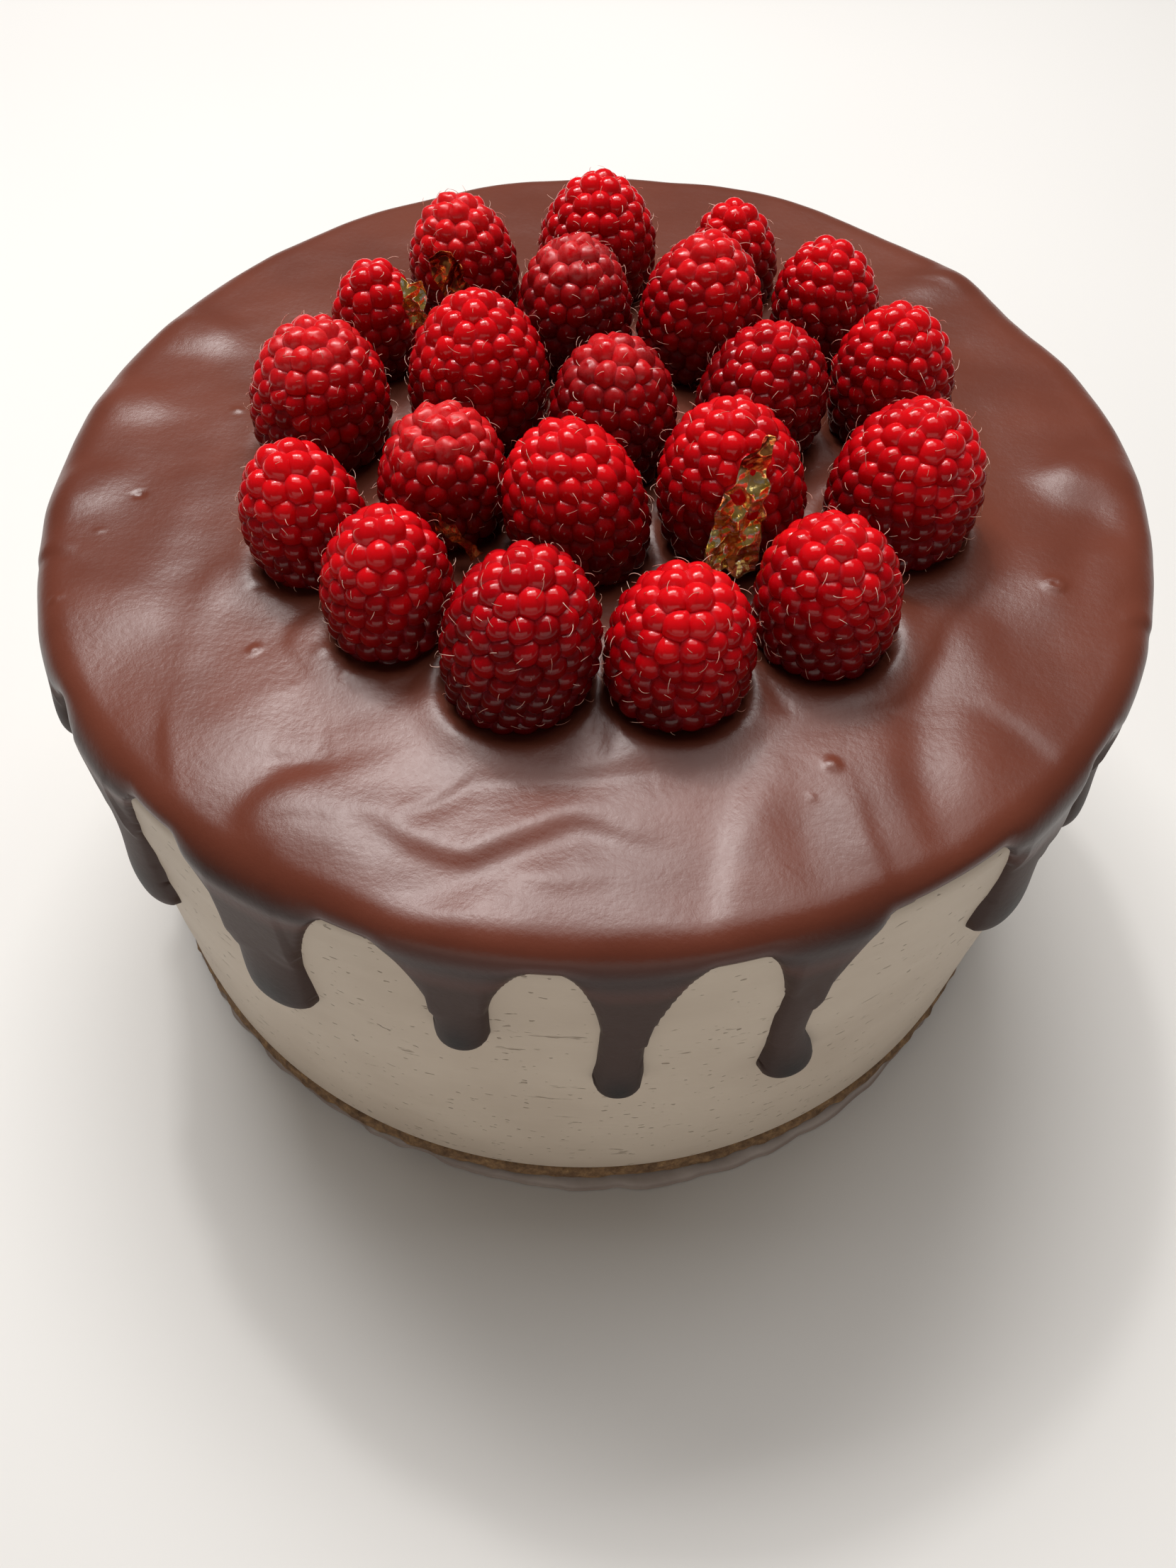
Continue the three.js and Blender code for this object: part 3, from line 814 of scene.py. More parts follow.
COLUMNS = 1024  # of the glaze, around the cake
LOWEST_ROW = 37.0  # the glaze's grid reaches down to here, below its longest drip
DIVE = 0.15  # its edge ends this far inside the mousse's skin
NEAR_EDGE = 0.26  # points of the grid this near the glaze's edge are moved onto it
HANG_BELOW = 75.5  # the drips' duller finish, and their darker, greyer painted shade and reflection, start around this height
TOP_ZONES = [  # of the top's middle, in ever fewer columns: shares of its radius, and rows
    (0.685, 0.40, 22), (0.388, 0.20, 14), (0.185, 0.04, 9),
]
INNER_RADIUS = CAKE_RADIUS - 4.4  # inside the mousse the glaze is closed by a ring
INNER_HEIGHT = 73.0
INNER_MIDDLE = 78.6  # and by a lid whose middle is at this height


def glaze():
    """The glaze: a grid over the mousse's skin, cut along the edge of the glaze, with the
    edge's points moved onto that line, and closed inside."""
    angles = around_cake(COLUMNS)
    bend, end = mousse_round(angles), wall_end(angles)
    flat_rows = [way_at_radius(angles, share) for share in np.linspace(0.70, 1, 40)]
    bend_rows = [end + bend * np.pi / 2 * (1 - share) for share in np.linspace(0, 1, 14)[1:]]
    wall_rows = [end + (LOWEST_ROW - end) * share for share in np.linspace(0, 1, 82)[1:]]
    way = np.array([*flat_rows, *bend_rows, *wall_rows])
    angle = np.broadcast_to(angles, way.shape).copy()
    per_mm = math.degrees(1 / CAKE_RADIUS)

    def reach_and_slope(angle, way):
        """The reach in mm, and the direction in which it grows."""
        reach = glaze_reach(angle, way)
        over = (glaze_reach(angle + 0.1 * per_mm, way) - glaze_reach(angle - 0.1 * per_mm, way)) / 0.2
        up = (glaze_reach(angle, way + 0.1) - glaze_reach(angle, way - 0.1)) / 0.2
        steep = np.maximum(0.25, np.hypot(over, up))
        return reach / steep, over / steep, up / steep

    reach, over, up = reach_and_slope(angle, way)
    on_edge = np.abs(reach) < NEAR_EDGE
    for _ in range(2):
        angle = np.where(on_edge, angle - reach * over * per_mm, angle)
        way = np.where(on_edge, way - reach * up, way)
        reach, over, up = reach_and_slope(angle, way)
    covered = on_edge | (reach > 0)

    skin, outward, turn = mousse_skin(angle, way)
    relief, edge = drip_relief(angle, way)
    lying = np.sin(turn)
    on_wall = GLAZE_ON_WALL + relief
    thickness = on_wall + (GLAZE_TOP - MOUSSE_TOP - on_wall) * smoothstep(lying, 0.0, 1.0)
    rounded = np.clip(reach / edge, 0, 1)
    thickness = thickness * np.sqrt(1 - (1 - rounded) ** 2)
    thickness = np.where(on_edge, -DIVE, thickness)
    points = skin + outward * thickness[..., None]
    raised = top_relief(points[..., 0], points[..., 1]) + swirl(points)
    points += outward * (raised * smoothstep(lying, 0.1, 1.0) * (1 - on_edge))[..., None]

    rows, columns = way.shape
    number = np.arange(rows * columns).reshape(rows, columns)
    a, b = number[:-1], np.roll(number[:-1], -1, axis=1)
    d, c = number[1:], np.roll(number[1:], -1, axis=1)
    quads = np.stack([a, d, c, b], axis=-1).reshape(-1, 4)
    held = covered.ravel()[quads]
    whole = quads[held.sum(axis=1) == 4]
    cut = quads[held.sum(axis=1) == 3]
    triangles = np.array([q[k] for q, k in zip(cut, held[held.sum(axis=1) == 3])]).reshape(-1, 3)

    flat_points = points.reshape(-1, 3)
    hang = smoothstep(HANG_BELOW - flat_points[:, 2], -1.5, 3.5)
    # Painted shade on the shoulder: 1 where the glaze turns down over the edge, and 0 on the drips.
    turned = (1 - smoothstep(lying, 0.3, 1.0)).ravel() * (1 - hang)
    # Painted shade: the middle of each drip's bulb.
    bulb = painted_bulb_shade(angle, way).ravel()

    # The middle of the top, under the berries, in ever fewer columns.
    parts, faces = [flat_points], [whole, triangles]
    extra_start = len(flat_points)
    ring_start, count = 0, COLUMNS
    for zone in TOP_ZONES:
        count //= 2
        around = around_cake(count)
        for i, share in enumerate(np.linspace(*zone)):
            base, out, _ = mousse_skin(around, way_at_radius(around, share))
            ring = base + out * (GLAZE_TOP - MOUSSE_TOP)
            ring += out * (top_relief(ring[:, 0], ring[:, 1]) + swirl(ring))[:, None]
            parts.append(ring)
            faces.append(
                halving_faces(ring_start, extra_start, count * 2) if i == 0
                else ring_faces(extra_start, ring_start, count)[:, ::-1]
            )
            ring_start, extra_start = extra_start, extra_start + count
    parts.append(middle_point(GLAZE_TOP)[None])
    faces.append(fan_faces(ring_start, extra_start, count))
    extra_start += 1

    # Close it inside: from the cut edge in and up to a ring inside the mousse, then a lid.
    loop = edge_loop(np.concatenate([triangulate(f) for f in faces]))
    parts.append(on_cake(angle.ravel()[loop], INNER_RADIUS, INNER_HEIGHT))
    i = np.arange(len(loop))
    j = (i + 1) % len(loop)
    faces.append(np.stack([loop[j], loop[i], extra_start + i, extra_start + j], axis=1))
    middle = extra_start + len(loop)
    parts.append(middle_point(INNER_MIDDLE)[None])
    faces.append(np.stack([extra_start + j, extra_start + i, np.full(len(loop), middle)], axis=1))

    points = np.concatenate(parts)
    spare = np.zeros(len(points) - len(flat_points))
    shades = {"hang": hang, "turn": turned, "bulb": bulb}
    values = {key: np.concatenate([shade, spare]) for key, shade in shades.items()}
    points, faces, values = drop_unused(points, faces, values)
    return make_piece("glaze", points, faces, glaze_finish(), values)


def painted_bulb_shade(angle, way):
    """1 in the middle of each drip's bulb, where the glaze's colour is painted darker as painted shade."""
    shade = np.zeros_like(way)
    for drip in DRIPS:
        along, above = drip_axis(drip, angle, way)
        middle = np.exp(-((along / (0.7 * drip.half)) ** 2) - ((above - 0.8) / drip.half) ** 2)
        shade = np.maximum(shade, middle)
    return shade


def triangulate(faces):
    faces = np.asarray(faces)
    if faces.shape[1] == 3:
        return faces
    return np.concatenate([faces[:, [0, 1, 2]], faces[:, [0, 2, 3]]])


def edge_loop(triangles):
    """The points along the one open edge of a surface, in the order of its faces."""
    sides = [triangles[:, [0, 1]], triangles[:, [1, 2]], triangles[:, [2, 0]]]
    ends = np.concatenate(sides).astype(np.int64)
    code = ends[:, 0] << 32 | ends[:, 1]
    back = ends[:, 1] << 32 | ends[:, 0]
    following = dict(ends[~np.isin(code, back)].tolist())
    start = min(following)
    loop = [start]
    while following[loop[-1]] != start:
        loop.append(following[loop[-1]])
    return np.array(loop)


def drop_unused(points, faces, values):
    used = np.unique(np.concatenate([np.asarray(f).ravel() for f in faces]))
    number = np.zeros(len(points), int)
    number[used] = np.arange(len(used))
    return points[used], [number[f] for f in faces], {k: v[used] for k, v in values.items()}


def stack_piece(name, low, rings, high, finish, values=None):
    """A piece from a closed stack of rings, between a middle point below and one above."""
    count = len(rings[0])
    faces = [fan_faces(1, 0, count)[:, ::-1]]
    for row in range(len(rings) - 1):
        faces.append(ring_faces(1 + row * count, 1 + (row + 1) * count, count))
    faces.append(fan_faces(1 + (len(rings) - 1) * count, 1 + len(rings) * count, count))
    points = np.concatenate([low[None], *rings, high[None]])
    return make_piece(name, points, faces, finish, values)


MOUSSE_FOOT = [(0.9, 0.0), (0.35, 0.1), (0.1, 0.35), (0.0, 0.8)]  # inset and height


def mousse():
    around = around_cake(640)
    bottom = BED_THICKNESS + BASE_HEIGHT + GAP
    rings = [on_cake(around, CAKE_RADIUS - inset, bottom + up) for inset, up in MOUSSE_FOOT]
    for share in np.linspace(0, 1, 78)[1:]:
        way = bottom + 0.8 + (wall_end(around) - bottom - 0.8) * share
        skin, outward, _ = mousse_skin(around, way)
        wipe = 0.07 * uneven(skin * (0.25, 0.25, 1.0), 5, 21)
        wipe += 0.04 * uneven(skin * (0.3, 0.3, 1.0), 2.2, 22)
        rings.append(skin + outward * wipe[:, None])
    for share in np.linspace(0, 1, 6)[1:]:
        skin, outward, _ = mousse_skin(around, wall_end(around) + mousse_round(around) * np.pi / 2 * share)
        rings.append(skin)
    skin, _, _ = mousse_skin(around, way_at_radius(around, 0.5))
    rings.append(skin)
    low, high = middle_point(bottom), middle_point(MOUSSE_TOP)
    return stack_piece("mousse_block", low, rings, high, mousse_finish())


def base_layer():
    around = around_cake(720)
    low, high = BED_THICKNESS + GAP, BED_THICKNESS + BASE_HEIGHT
    rings = []
    for share in np.linspace(0, 1, 9):
        radius = CAKE_RADIUS + BASE_SPREAD * (1 - share) - 0.5 * (2 * share - 1) ** 6
        ring = on_cake(around, radius, low + (high - low) * share)
        crumb = 0.16 * uneven(ring, 1.5, 31) + 0.12 * uneven(ring, 5, 32)
        rings.append(ring + level_ways(around) * (crumb * (1 - (2 * share - 1) ** 6))[:, None])
    return stack_piece("brown_base", middle_point(low), rings, middle_point(high), base_finish())


BED_OUTLINE = [  # past the bed's uneven edge, and height
    (-0.25, 0.0), (-0.02, 0.16), (0.0, 0.4), (-0.2, 0.66), (-0.6, 0.84), (-1.4, 0.9), (-3.5, 0.9),
]


def cream_bed():
    """The smear of cream, a thin disc with a soft uneven edge."""
    around = around_cake(720)
    start = np.radians(around - BED_WIDEST)
    spread = BED_RADIUS + BED_OVAL * np.cos(2 * start) + BED_WAVE * np.cos(5 * start)
    rim = level_ways(around)
    spread = spread + 0.22 * uneven(rim * 81, 4.5, 41) + 0.1 * uneven(rim * 81, 1.8, 42) - 0.15
    rings, edge = [], [np.zeros(1)]
    for outset, up in BED_OUTLINE:
        ring = rim * (spread + outset)[:, None]
        ring[:, 2] = up * (1 + 0.12 * uneven(ring, 6, 43)) if up < BED_THICKNESS else up
        ring[:, 2] = np.minimum(ring[:, 2], BED_THICKNESS)
        rings.append(ring)
        edge.append(np.full(len(around), 1.0 if outset > -0.3 else 0.0))
    top = np.array([0.0, 0.0, BED_THICKNESS])
    values = {"edge": np.concatenate([*edge, np.zeros(1)])}
    return stack_piece("cream_smear", np.zeros(3), rings, top, cream_finish(), values)


# ---- Raspberries -----------------------------------------------------------------------

FOOT_POLAR = 125.0  # on the sphere that a berry is drawn on, the angle from tip to foot
CORE_INSET = 0.5  # the creases between drupelets lie this far inside the berry's outline
SINK = 0.7  # a berry's foot sits this far down in the soft glaze
TIP_PITCH = 3.7  # distance between the large drupelets at a tip
SIDE_PITCH = 2.95  # and between the smaller ones on the sides
DARKER = {0: 0.4, 11: 0.4, 12: 0.4, 17: 0.4}  # berries, counted from 0, that are darker
BRIGHTER = {1: 0.25, 4: 0.4, 8: 0.55, 15: 0.4}  # and those with brighter tips
DRIED = {6: 0.6, 7: 1.0, 11: 0.7, 15: 0.6, 17: 1.0, 18: 0.4}  # and those with dry, dull tips


def berry_profile(share, blunt):
    """Radius at a share of a berry's height, as a share of its widest radius."""
    widest_at = 0.28
    up = np.clip((share - widest_at) / (1 - widest_at), 0, 1)
    low = 0.88 + 0.12 * np.sin(np.pi / 2 * np.clip(share / widest_at, 0, 1))
    return np.where(share < widest_at, low, (1 - up**2.3) ** (0.72 - 0.22 * blunt))


class BerryForm:
    """The outline of a berry from its tip down, and the sphere that its drupelets are laid out
    on. The two are matched so that a small circle on the sphere is a circle on the berry."""

    def __init__(self, berry):
        self.berry = berry
        up = 1 - np.linspace(0, 1, 400) ** 2.2
        height = berry.height + SINK
        self.radii = (berry.radius - CORE_INSET) * berry_profile(up, berry.blunt)
        self.heights = (height - CORE_INSET) * up
        steps = np.hypot(np.diff(self.radii), np.diff(self.heights))
        self.down = np.concatenate([[0], np.cumsum(steps)])
        self.length = self.down[-1]
        between = (self.radii[1:] + self.radii[:-1]) / 2
        growth = np.concatenate([[0], np.cumsum((steps / between)[1:])])
        half = math.tan(math.radians(FOOT_POLAR / 2)) * np.exp(growth - growth[-1])
        self.polars = np.concatenate([[0], 2 * np.degrees(np.arctan(half))])

    def polar(self, down):
        return np.interp(down, self.down, self.polars)

    def radius_at(self, down):
        return np.interp(down, self.down, self.radii)

    def scale(self, direction):
        """How many mm one radian on the sphere is at a direction."""
        polar = math.degrees(math.acos(min(1, direction[2])))
        polar = max(1.0, min(FOOT_POLAR, polar))
        radius = float(self.radius_at(np.interp(polar, self.polars, self.down)))
        return radius / math.sin(math.radians(polar))

    def change(self, row, down):
        """How much a row of numbers along the outline changes across a place."""
        return np.interp(down + 0.1, self.down, row) - np.interp(down - 0.1, self.down, row)

    def place(self, directions):
        """Points of the outline in the given directions, the ways out of it, and the share of
        the height at each."""
        polar = np.degrees(np.arccos(np.clip(directions[:, 2], -1, 1)))
        side = directions[:, :2] / np.maximum(1e-9, np.linalg.norm(directions[:, :2], axis=1))[:, None]
        down = np.interp(polar, self.polars, self.down)
        under = np.clip((polar - FOOT_POLAR) / (180 - FOOT_POLAR), 0, 1)
        radius = self.radius_at(down) * (1 - under)
        z = np.interp(down, self.down, self.heights) + 1.2 * under * (1 - under)
        across = np.where(under > 0, 0.3, -self.change(self.heights, down))
        lift = np.where(under > 0, -1.0, self.change(self.radii, down))
        size = np.maximum(1e-9, np.hypot(across, lift))
        points = np.column_stack([side * radius[:, None], z])
        outward = np.column_stack([side * (across / size)[:, None], lift / size])
        return points, outward, z / (self.berry.height + SINK)

    def settle(self, points):
        """Lean the berry and stand it on the sloping glaze."""
        b = self.berry
        share = points[:, 2] / b.height
        x = b.x + points[:, 0] + b.lean * share
        z = GLAZE_TOP + GAP - SINK + points[:, 2] + TOP_SLOPE * x
        return np.column_stack([x, b.y + points[:, 1], z])


def berry_seeds(form, rng):
    """Directions of the drupelets' middles: in rows, large at the tip and small below."""
    seeds = []
    down = rng.uniform(1.4, 2.0)
    while down < form.length - 0.8:
        pitch = SIDE_PITCH + (TIP_PITCH - SIDE_PITCH) * (1 - smoothstep(down, 1.5, 8.5))
        count = max(3, round(2 * math.pi * (form.radius_at(down) + CORE_INSET) / pitch))
        start = rng.uniform(0, 360)
        for i in range(count):
            azimuth = start + (i + rng.uniform(-0.18, 0.18)) * 360 / count
            polar = form.polar(down + rng.uniform(-0.17, 0.17) * pitch)
            seeds.append((polar, azimuth))
        down += 0.87 * pitch
    for polar, count in ((138, 11), (158, 6), (178, 1)):
        seeds.extend((polar, rng.uniform(0, 20) + i * 360 / count) for i in range(count))
    polar, azimuth = np.radians(np.array(seeds)).T
    aside = np.sin(polar)
    return np.column_stack([aside * np.cos(azimuth), aside * np.sin(azimuth), np.cos(polar)])


def cells_around(seeds):
    """The corners of the cells around seeds on a sphere, and the corners that each cell has."""
    triangles = hull_triangles(seeds)
    a, b, c = (seeds[triangles[:, k]] for k in range(3))
    corners = unit(np.cross(b - a, c - a))
    corners *= np.sign((corners * a).sum(axis=1))[:, None]
    around = [[] for _ in seeds]
    for t, triangle in enumerate(triangles):
        for v in triangle:
            around[v].append(t)
    return corners, around


def hull_triangles(directions):
    """The triangles of the convex hull of points on a sphere."""
    work = bmesh.new()
    for direction in directions:
        work.verts.new(direction)
    work.verts.ensure_lookup_table()
    work.verts.index_update()
    bmesh.ops.convex_hull(work, input=work.verts[:])
    bmesh.ops.triangulate(work, faces=work.faces[:])
    triangles = np.array([[v.index for v in face.verts] for face in work.faces])
    work.free()
    return triangles


SPLITS = 3  # points along each side of a drupelet's outline
RINGS = (0.34, 0.64, 0.86)  # where the rings of points are between its middle and its outline


@dataclass
class Drupelet:
    """One drupelet: its middle, the numbers of its outline's points, how far and which way each
    of them is from the middle, and the dome that stands on it."""

    seed: np.ndarray
    outline: list
    angle: np.ndarray
    way: np.ndarray
    scale: float
    dome: float
    tone: float

    def height(self, share):
        """Height of the dome at a share of the way out to each point of the outline."""
        far = self.angle * self.scale
        round_to = self.dome * far.mean()
        level = math.sqrt(round_to**2 - far.mean() ** 2)
        return np.sqrt(np.maximum(0.02, round_to**2 - (share * far) ** 2)) - level


def lay_out(form, rng):
    """The drupelets of a berry, and the directions of the points of their outlines."""
    seeds = berry_seeds(form, rng)
    for _ in range(2):
        corners, around = cells_around(seeds)
        seeds = unit(np.array([corners[cell].mean(axis=0) for cell in around]))
    corners, around = cells_around(seeds)
    directions = [*corners]
    between = {}

    def along_edge(t, u):
        """Numbers of the points between two corners of a cell, shared with its neighbour."""
        key = (min(t, u), max(t, u))
        if key not in between:
            between[key] = list(range(len(directions), len(directions) + SPLITS - 1))
            for k in range(1, SPLITS):
                directions.append(unit(corners[key[0]] * (SPLITS - k) + corners[key[1]] * k))
        return between[key] if t < u else between[key][::-1]

    drupelets = []
    for seed, cell in zip(seeds, around):
        east = unit(np.cross(seed, (0.3, 0.5, 0.8)))
        north = np.cross(seed, east)
        turning = sorted(cell, key=lambda t: math.atan2(corners[t] @ north, corners[t] @ east))
        outline = []
        for t, u in zip(turning, turning[1:] + turning[:1]):
            outline.append(t)
            outline.extend(along_edge(t, u))
        border = np.array([directions[n] for n in outline])
        along = border @ seed
        drupelets.append(Drupelet(
            seed, outline, np.arccos(np.clip(along, -1, 1)), unit(border - along[:, None] * seed),
            form.scale(seed), rng.uniform(1.22, 1.42), rng.uniform(0, 1),
        ))
    return drupelets, np.array(directions)


def berry_mesh(berry, index):
    """A raspberry: one rounded drupelet in each cell around a seed, with creases between."""
    rng = np.random.default_rng(100 + index)
    form = BerryForm(berry)
    drupelets, outlines = lay_out(form, rng)
    total, sharing = np.zeros(len(outlines)), np.zeros(len(outlines))
    for drupelet in drupelets:
        total[drupelet.outline] += drupelet.height(1.0)
        sharing[drupelet.outline] += 1
    border = np.maximum(total / sharing, -0.45) - 0.05

    directions, heights = [outlines], [border]
    rims, tones = [np.ones(len(outlines))], [np.full(len(outlines), 0.5)]
    faces3, faces4, middles = [], [], []
    start = len(outlines)
    for drupelet in drupelets:
        count = len(drupelet.outline)
        turn = np.arange(count)
        after = (turn + 1) % count
        gap = border[drupelet.outline] - drupelet.height(1.0)
        bump = rng.uniform(-0.07, 0.07)
        directions.append(drupelet.seed[None])
        heights.append(drupelet.height(0.0)[:1] + bump)
        middles.append(start)
        for share in RINGS:
            reach = (drupelet.angle * share)[:, None]
            directions.append(np.cos(reach) * drupelet.seed + np.sin(reach) * drupelet.way)
            heights.append(drupelet.height(share) + gap * share**4 + bump * (1 - share**2))
        rims.append(np.repeat([0.0, *(share**2 for share in RINGS)], [1] + [count] * len(RINGS)))
        tones.append(np.full(1 + count * len(RINGS), drupelet.tone))
        rings = [start + 1 + k * count + turn for k in range(len(RINGS))] + [np.array(drupelet.outline)]
        faces3.append(np.stack([np.full(count, start), rings[0], rings[0][after]], axis=1))
        for low, high in zip(rings, rings[1:]):
            faces4.append(np.stack([low, high, high[after], low[after]], axis=1))
        start += 1 + count * len(RINGS)

    directions = np.concatenate(directions)
    base, outward, share = form.place(directions)
    dry = DRIED.get(index, 0) * smoothstep(share, 0.6, 0.92)
    crumple = 0.16 * dry * uneven(base, 0.9, 300 + index)
    lifted = base + outward * (np.concatenate(heights) + crumple)[:, None]
    creases = np.arange(len(directions)) < len(outlines)
    faces3, faces4 = np.concatenate(faces3), np.concatenate(faces4)
    if not faces_out(lifted, faces3):
        faces3, faces4 = faces3[:, ::-1], faces4[:, ::-1]
    lowest = math.cos(math.radians(FOOT_POLAR - 6))
    roots = [(lifted[m], outward[m]) for m in middles if directions[m][2] > lowest]
    bright = BRIGHTER.get(index, 0) * smoothstep(share, 0.55, 1.0)
    values = {
        # Share of the berry's height, which the finish turns into painted light at the tips and painted
        # shade below.
        "rise": share,
        "rim": np.concatenate(rims),
        "tone": np.concatenate(tones),
        "dry": dry,
        "light": bright - DARKER.get(index, 0),
    }
    return form, lifted, [faces3, faces4], values, creases, roots


def faces_out(points, triangles):
    """Whether triangles on a round form face away from its middle."""
    a, b, c = (points[triangles[:, k]] for k in range(3))
    across = np.cross(b - a, c - a)
    middle = points.mean(axis=0)
    return ((a - middle) * across).sum() > 0


def raspberries():
    finish = raspberry_finish()
    hairs = []
    for index, berry in enumerate(BERRIES):
        form, points, faces, values, creases, roots = berry_mesh(berry, index)
        name = f"raspberry_{index + 1:02d}"
        piece = make_piece(f"fruit_{index + 1:02d}", form.settle(points), faces, finish, values, creases)
        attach(piece, BODY)
        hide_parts(name)
        rng = np.random.default_rng(500 + index)
        for root, outward in roots:
            if rng.uniform() < 0.85:
                hairs.append(hair_line(form, root, outward, rng))
    return hairs


# ---- Hairs -----------------------------------------------------------------------------

HAIR_THICKNESS = 0.10
HAIR_POINTS = 6


def hair_line(form, root, outward, rng):
    """The middle line of one curved hair that grows out of a drupelet."""
    length = rng.uniform(0.9, 2.4)
    side = rng.normal(size=3)
    side = unit(side - (side @ outward) * outward)
    across = np.cross(outward, side)
    stand = rng.uniform(0.25, 0.6) if rng.uniform() < 0.7 else rng.uniform(0.7, 1.1)
    curl = rng.uniform(-0.5, 0.5)
    start = root + side * rng.uniform(-0.2, 0.6) - outward * 0.12
    t = np.linspace(0, 1, HAIR_POINTS)[:, None]
    rise = outward * length * stand * t * (1.2 - 0.75 * t)
    line = start + rise + side * length * 0.8 * t + across * length * curl * t**2
    return form.settle(line)


def hair_piece(lines):
    """All hairs in one mesh of thin three-sided tubes that run to a point."""
    points, faces3, faces4, tones = [], [], [], []
    rng = np.random.default_rng(900)
    for line in lines:
        start = len(points)
        heading = unit(np.gradient(line, axis=0))
        east = np.cross(heading[0], (0.31, 0.52, 0.79))
        tone = rng.uniform()
        for i, (point, way) in enumerate(zip(line[:-1], heading)):
            east = east - (east @ way) * way
            east /= np.linalg.norm(east)
            north = np.cross(way, east)
            radius = HAIR_THICKNESS / 2 * (1 - 0.6 * i / HAIR_POINTS)
            for turn in (0, 120, 240):
                points.append(point + radius * (cos_deg(turn) * east + sin_deg(turn) * north))
        points.append(line[-1])
        tones.extend([tone] * (3 * (HAIR_POINTS - 1) + 1))
        for i in range(HAIR_POINTS - 2):
            for k in range(3):
                a, b = start + 3 * i + k, start + 3 * i + (k + 1) % 3
                faces4.append((a, b, b + 3, a + 3))
        last = start + 3 * (HAIR_POINTS - 2)
        tip = start + 3 * (HAIR_POINTS - 1)
        faces3.extend((last + k, last + (k + 1) % 3, tip) for k in range(3))
        faces3.append((start + 2, start + 1, start))
    faces = [np.array(faces3), np.array(faces4)]
    piece = make_piece("raspberry_hairs", np.array(points), faces, hair_finish(), {"tone": tones})
    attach(piece, BODY)


# ---- Gold leaf -------------------------------------------------------------------------

LEAF_SHEET = 0.06  # thickness of the modelled sheet
LEAF_COPPER = [0.45, -0.6, 2.0, 2.0]  # how far down from its top each scrap looks coppery
LEAF_ASIDE = [0.5, 0.0, 0.0, 0.0]  # how far each scrap's point is to the right of its middle
LEAF_CREASES = [  # heading, spacing, depth
    (62, 5.2, 1.1), (-38, 3.6, 0.7), (15, 2.3, 0.35), (-70, 1.3, 0.2),
]
LEAF_COLUMNS, LEAF_ROWS = 34, 76


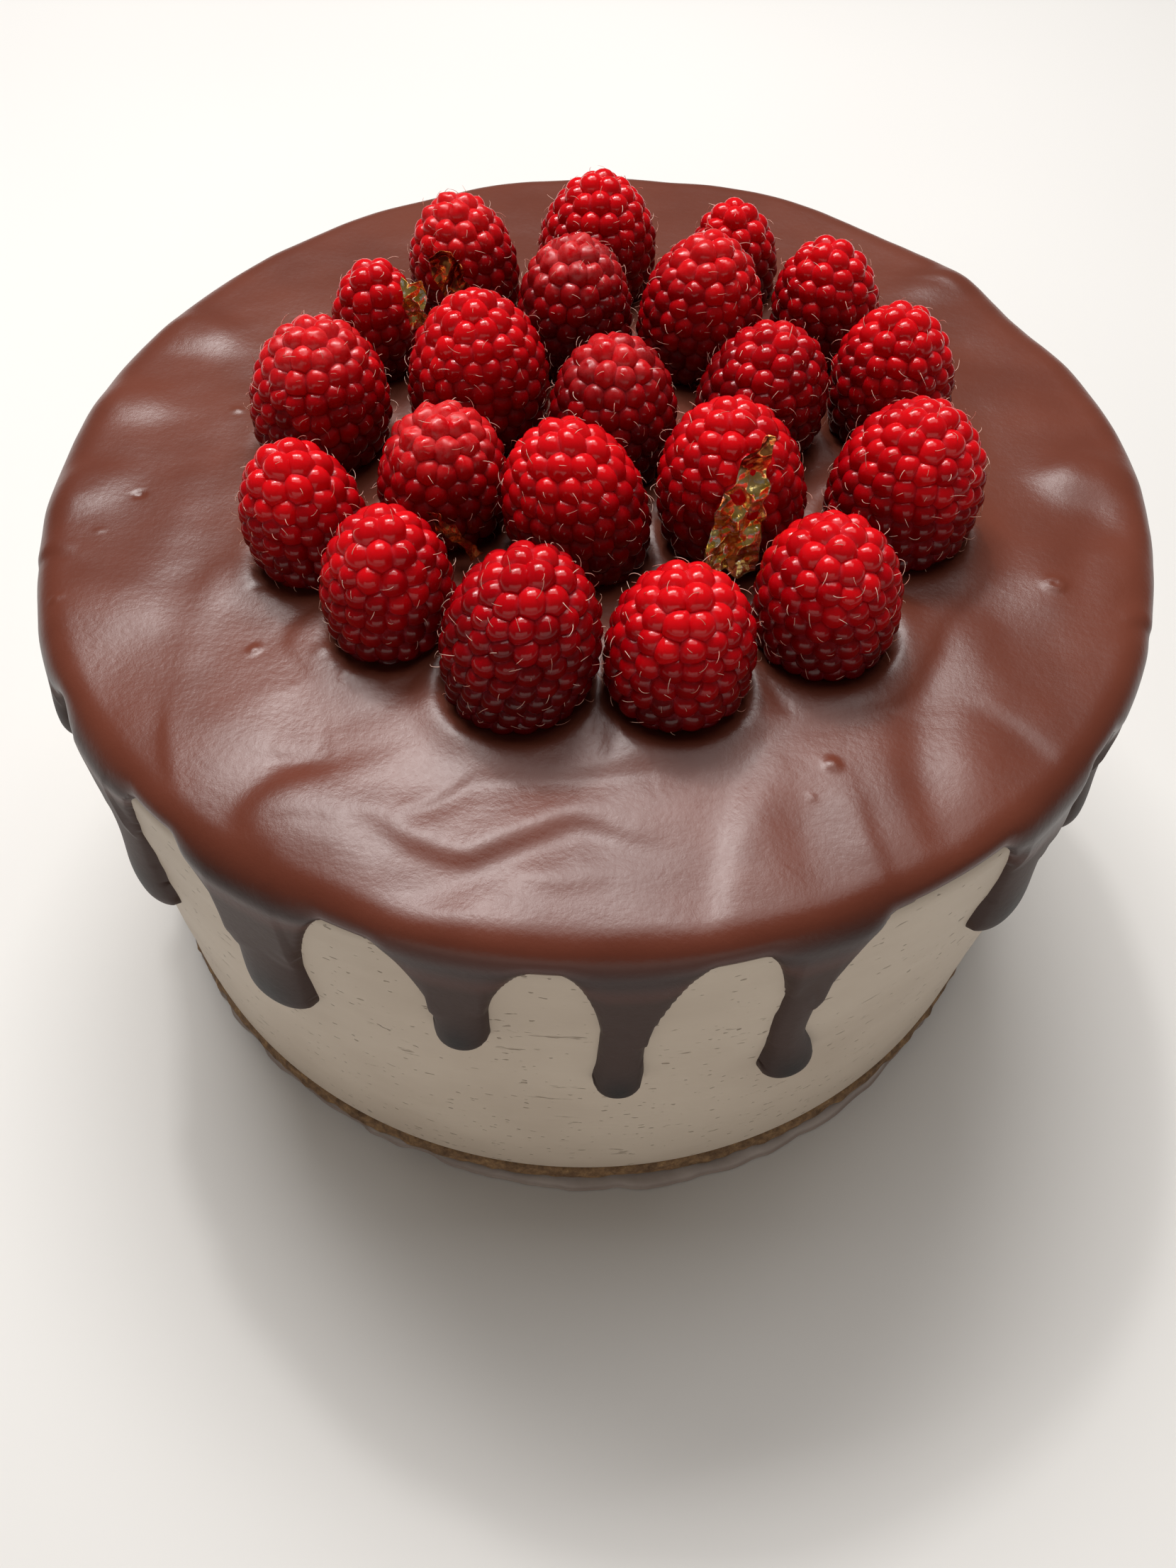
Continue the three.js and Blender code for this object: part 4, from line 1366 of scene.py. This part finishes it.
def gold_leaves():
    finish = leaf_finish()
    u, v = np.meshgrid(np.linspace(0, 1, LEAF_COLUMNS), np.linspace(0, 1, LEAF_ROWS))
    number = np.arange(u.size).reshape(u.shape)
    corners = [number[:-1, :-1], number[:-1, 1:], number[1:, 1:], number[1:, :-1]]
    quads = np.stack(corners, axis=-1).reshape(-1, 4)
    border = np.concatenate([number[0, :-1], number[:-1, -1], number[-1, :0:-1], number[:0:-1, 0]])
    after = np.roll(border, -1)
    sides = np.stack([after, border, border + u.size, after + u.size], axis=1)
    faces = [quads, quads[:, ::-1] + u.size, sides]
    for index, leaf in enumerate(LEAVES):
        breadth = 1.0 - 0.12 * (1 - v) - leaf.taper * (0.55 * v + 0.65 * v**3)
        aside = LEAF_ASIDE[index] * (1 - breadth)
        flat = np.stack([((u - 0.5) * breadth + aside) * leaf.width, 0 * u, v * leaf.height], axis=-1)
        seed = 70 + 4 * index
        torn = 0.35 * uneven(flat, 1.6, seed)
        flat[..., 0] += torn * np.abs(2 * u - 1) ** 3
        flat[..., 2] += 0.5 * uneven(flat, 1.8, seed + 1) * np.clip(np.abs(2 * v - 1), 0, 1) ** 6
        crinkle = -0.7
        for heading, period, depth in LEAF_CREASES:
            along = flat[..., 0] * cos_deg(heading) + flat[..., 2] * sin_deg(heading)
            along = along / period + 0.25 * uneven(flat, 5, seed + 2) + 0.37 * index
            crinkle = crinkle + depth * np.abs(2 * (along - np.round(along)))
        flat[..., 1] = crinkle + 0.06 * uneven(flat, 0.9, seed + 3)
        grid = flat.reshape(-1, 3)
        points = np.concatenate([grid, grid + (0, LEAF_SHEET, 0)])
        turn, tilt, roll = (math.radians(x) for x in (leaf.turn, leaf.tilt, leaf.roll))
        place = Matrix.Rotation(turn, 3, "Z") @ Matrix.Rotation(-tilt, 3, "X")
        place = place @ Matrix.Rotation(-roll, 3, "Y")
        points = points @ np.array(place).T + np.array([leaf.x, leaf.y, leaf.z])
        bare = 1 - LEAF_COPPER[index]
        copper = smoothstep(v + 0.12 * uneven(flat, 3, seed), bare, bare + 0.2)
        values = {"copper": np.tile(copper.ravel(), 2)}
        piece = make_piece(f"leaf_scrap_{index + 1}", points, faces, finish, values)
        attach(piece, BODY)
        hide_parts(f"gold_leaf_{index + 1}")


# ---- Floor and lights ------------------------------------------------------------------


def add_floor():
    half = 3000.0
    points = np.array([(-half, -half, 0), (half, -half, 0), (half, half, 0), (-half, half, 0)])
    floor = make_piece("floor", points, [np.array([[0, 1, 2, 3]])], floor_finish())


def add_area_light(name, place, target, width, depth, power, colour):
    data = bpy.data.lights.new(name, "AREA")
    data.shape = "RECTANGLE"
    data.size = width * MM
    data.size_y = depth * MM
    data.energy = power
    data.color = colour
    light = bpy.data.objects.new(name, data)
    light.location = Vector(place) * MM
    light.rotation_euler = (Vector(target) - Vector(place)).to_track_quat("-Z", "Y").to_euler()
    bpy.context.scene.collection.objects.link(light)


LIGHTS = [  # name, place, the point it faces, width, depth, watts, colour
    ("window", (-110, 435, 840), (0, -60, 82), 620, 240, 6.8, (1.0, 0.99, 0.98)),
    ("lamp", (-150, 400, 800), (0, -60, 82), 50, 50, 1.3, (1.0, 0.99, 0.98)),
    ("ceiling", (0, 330, 1350), (0, 0, 80), 1300, 620, 8, (1.0, 0.98, 0.96)),
    ("front_wall", (0, -1200, 260), (0, 0, 60), 1800, 480, 3.2, (1.0, 0.93, 0.85)),
]


def add_lights():
    for light in LIGHTS:
        add_area_light(*light)
    world = bpy.data.worlds.new("room")
    world.use_nodes = True
    background = world.node_tree.nodes["Background"]
    background.inputs["Color"].default_value = (1.0, 0.94, 0.88, 1)
    background.inputs["Strength"].default_value = 0.10
    bpy.context.scene.world = world
    bpy.context.scene.view_settings.view_transform = "Standard"


# ---- The whole cake --------------------------------------------------------------------

add_camera()
for piece, node, slot in (
    (glaze(), "chocolate_glaze", "glaze"),
    (mousse(), "mousse", "mousse"),
    (base_layer(), "base_layer", "base"),
    (cream_bed(), "cream_bed", "cream"),
):
    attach(piece, BODY)
    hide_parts(node)
hair_piece(raspberries())
gold_leaves()
add_floor()
add_lights()
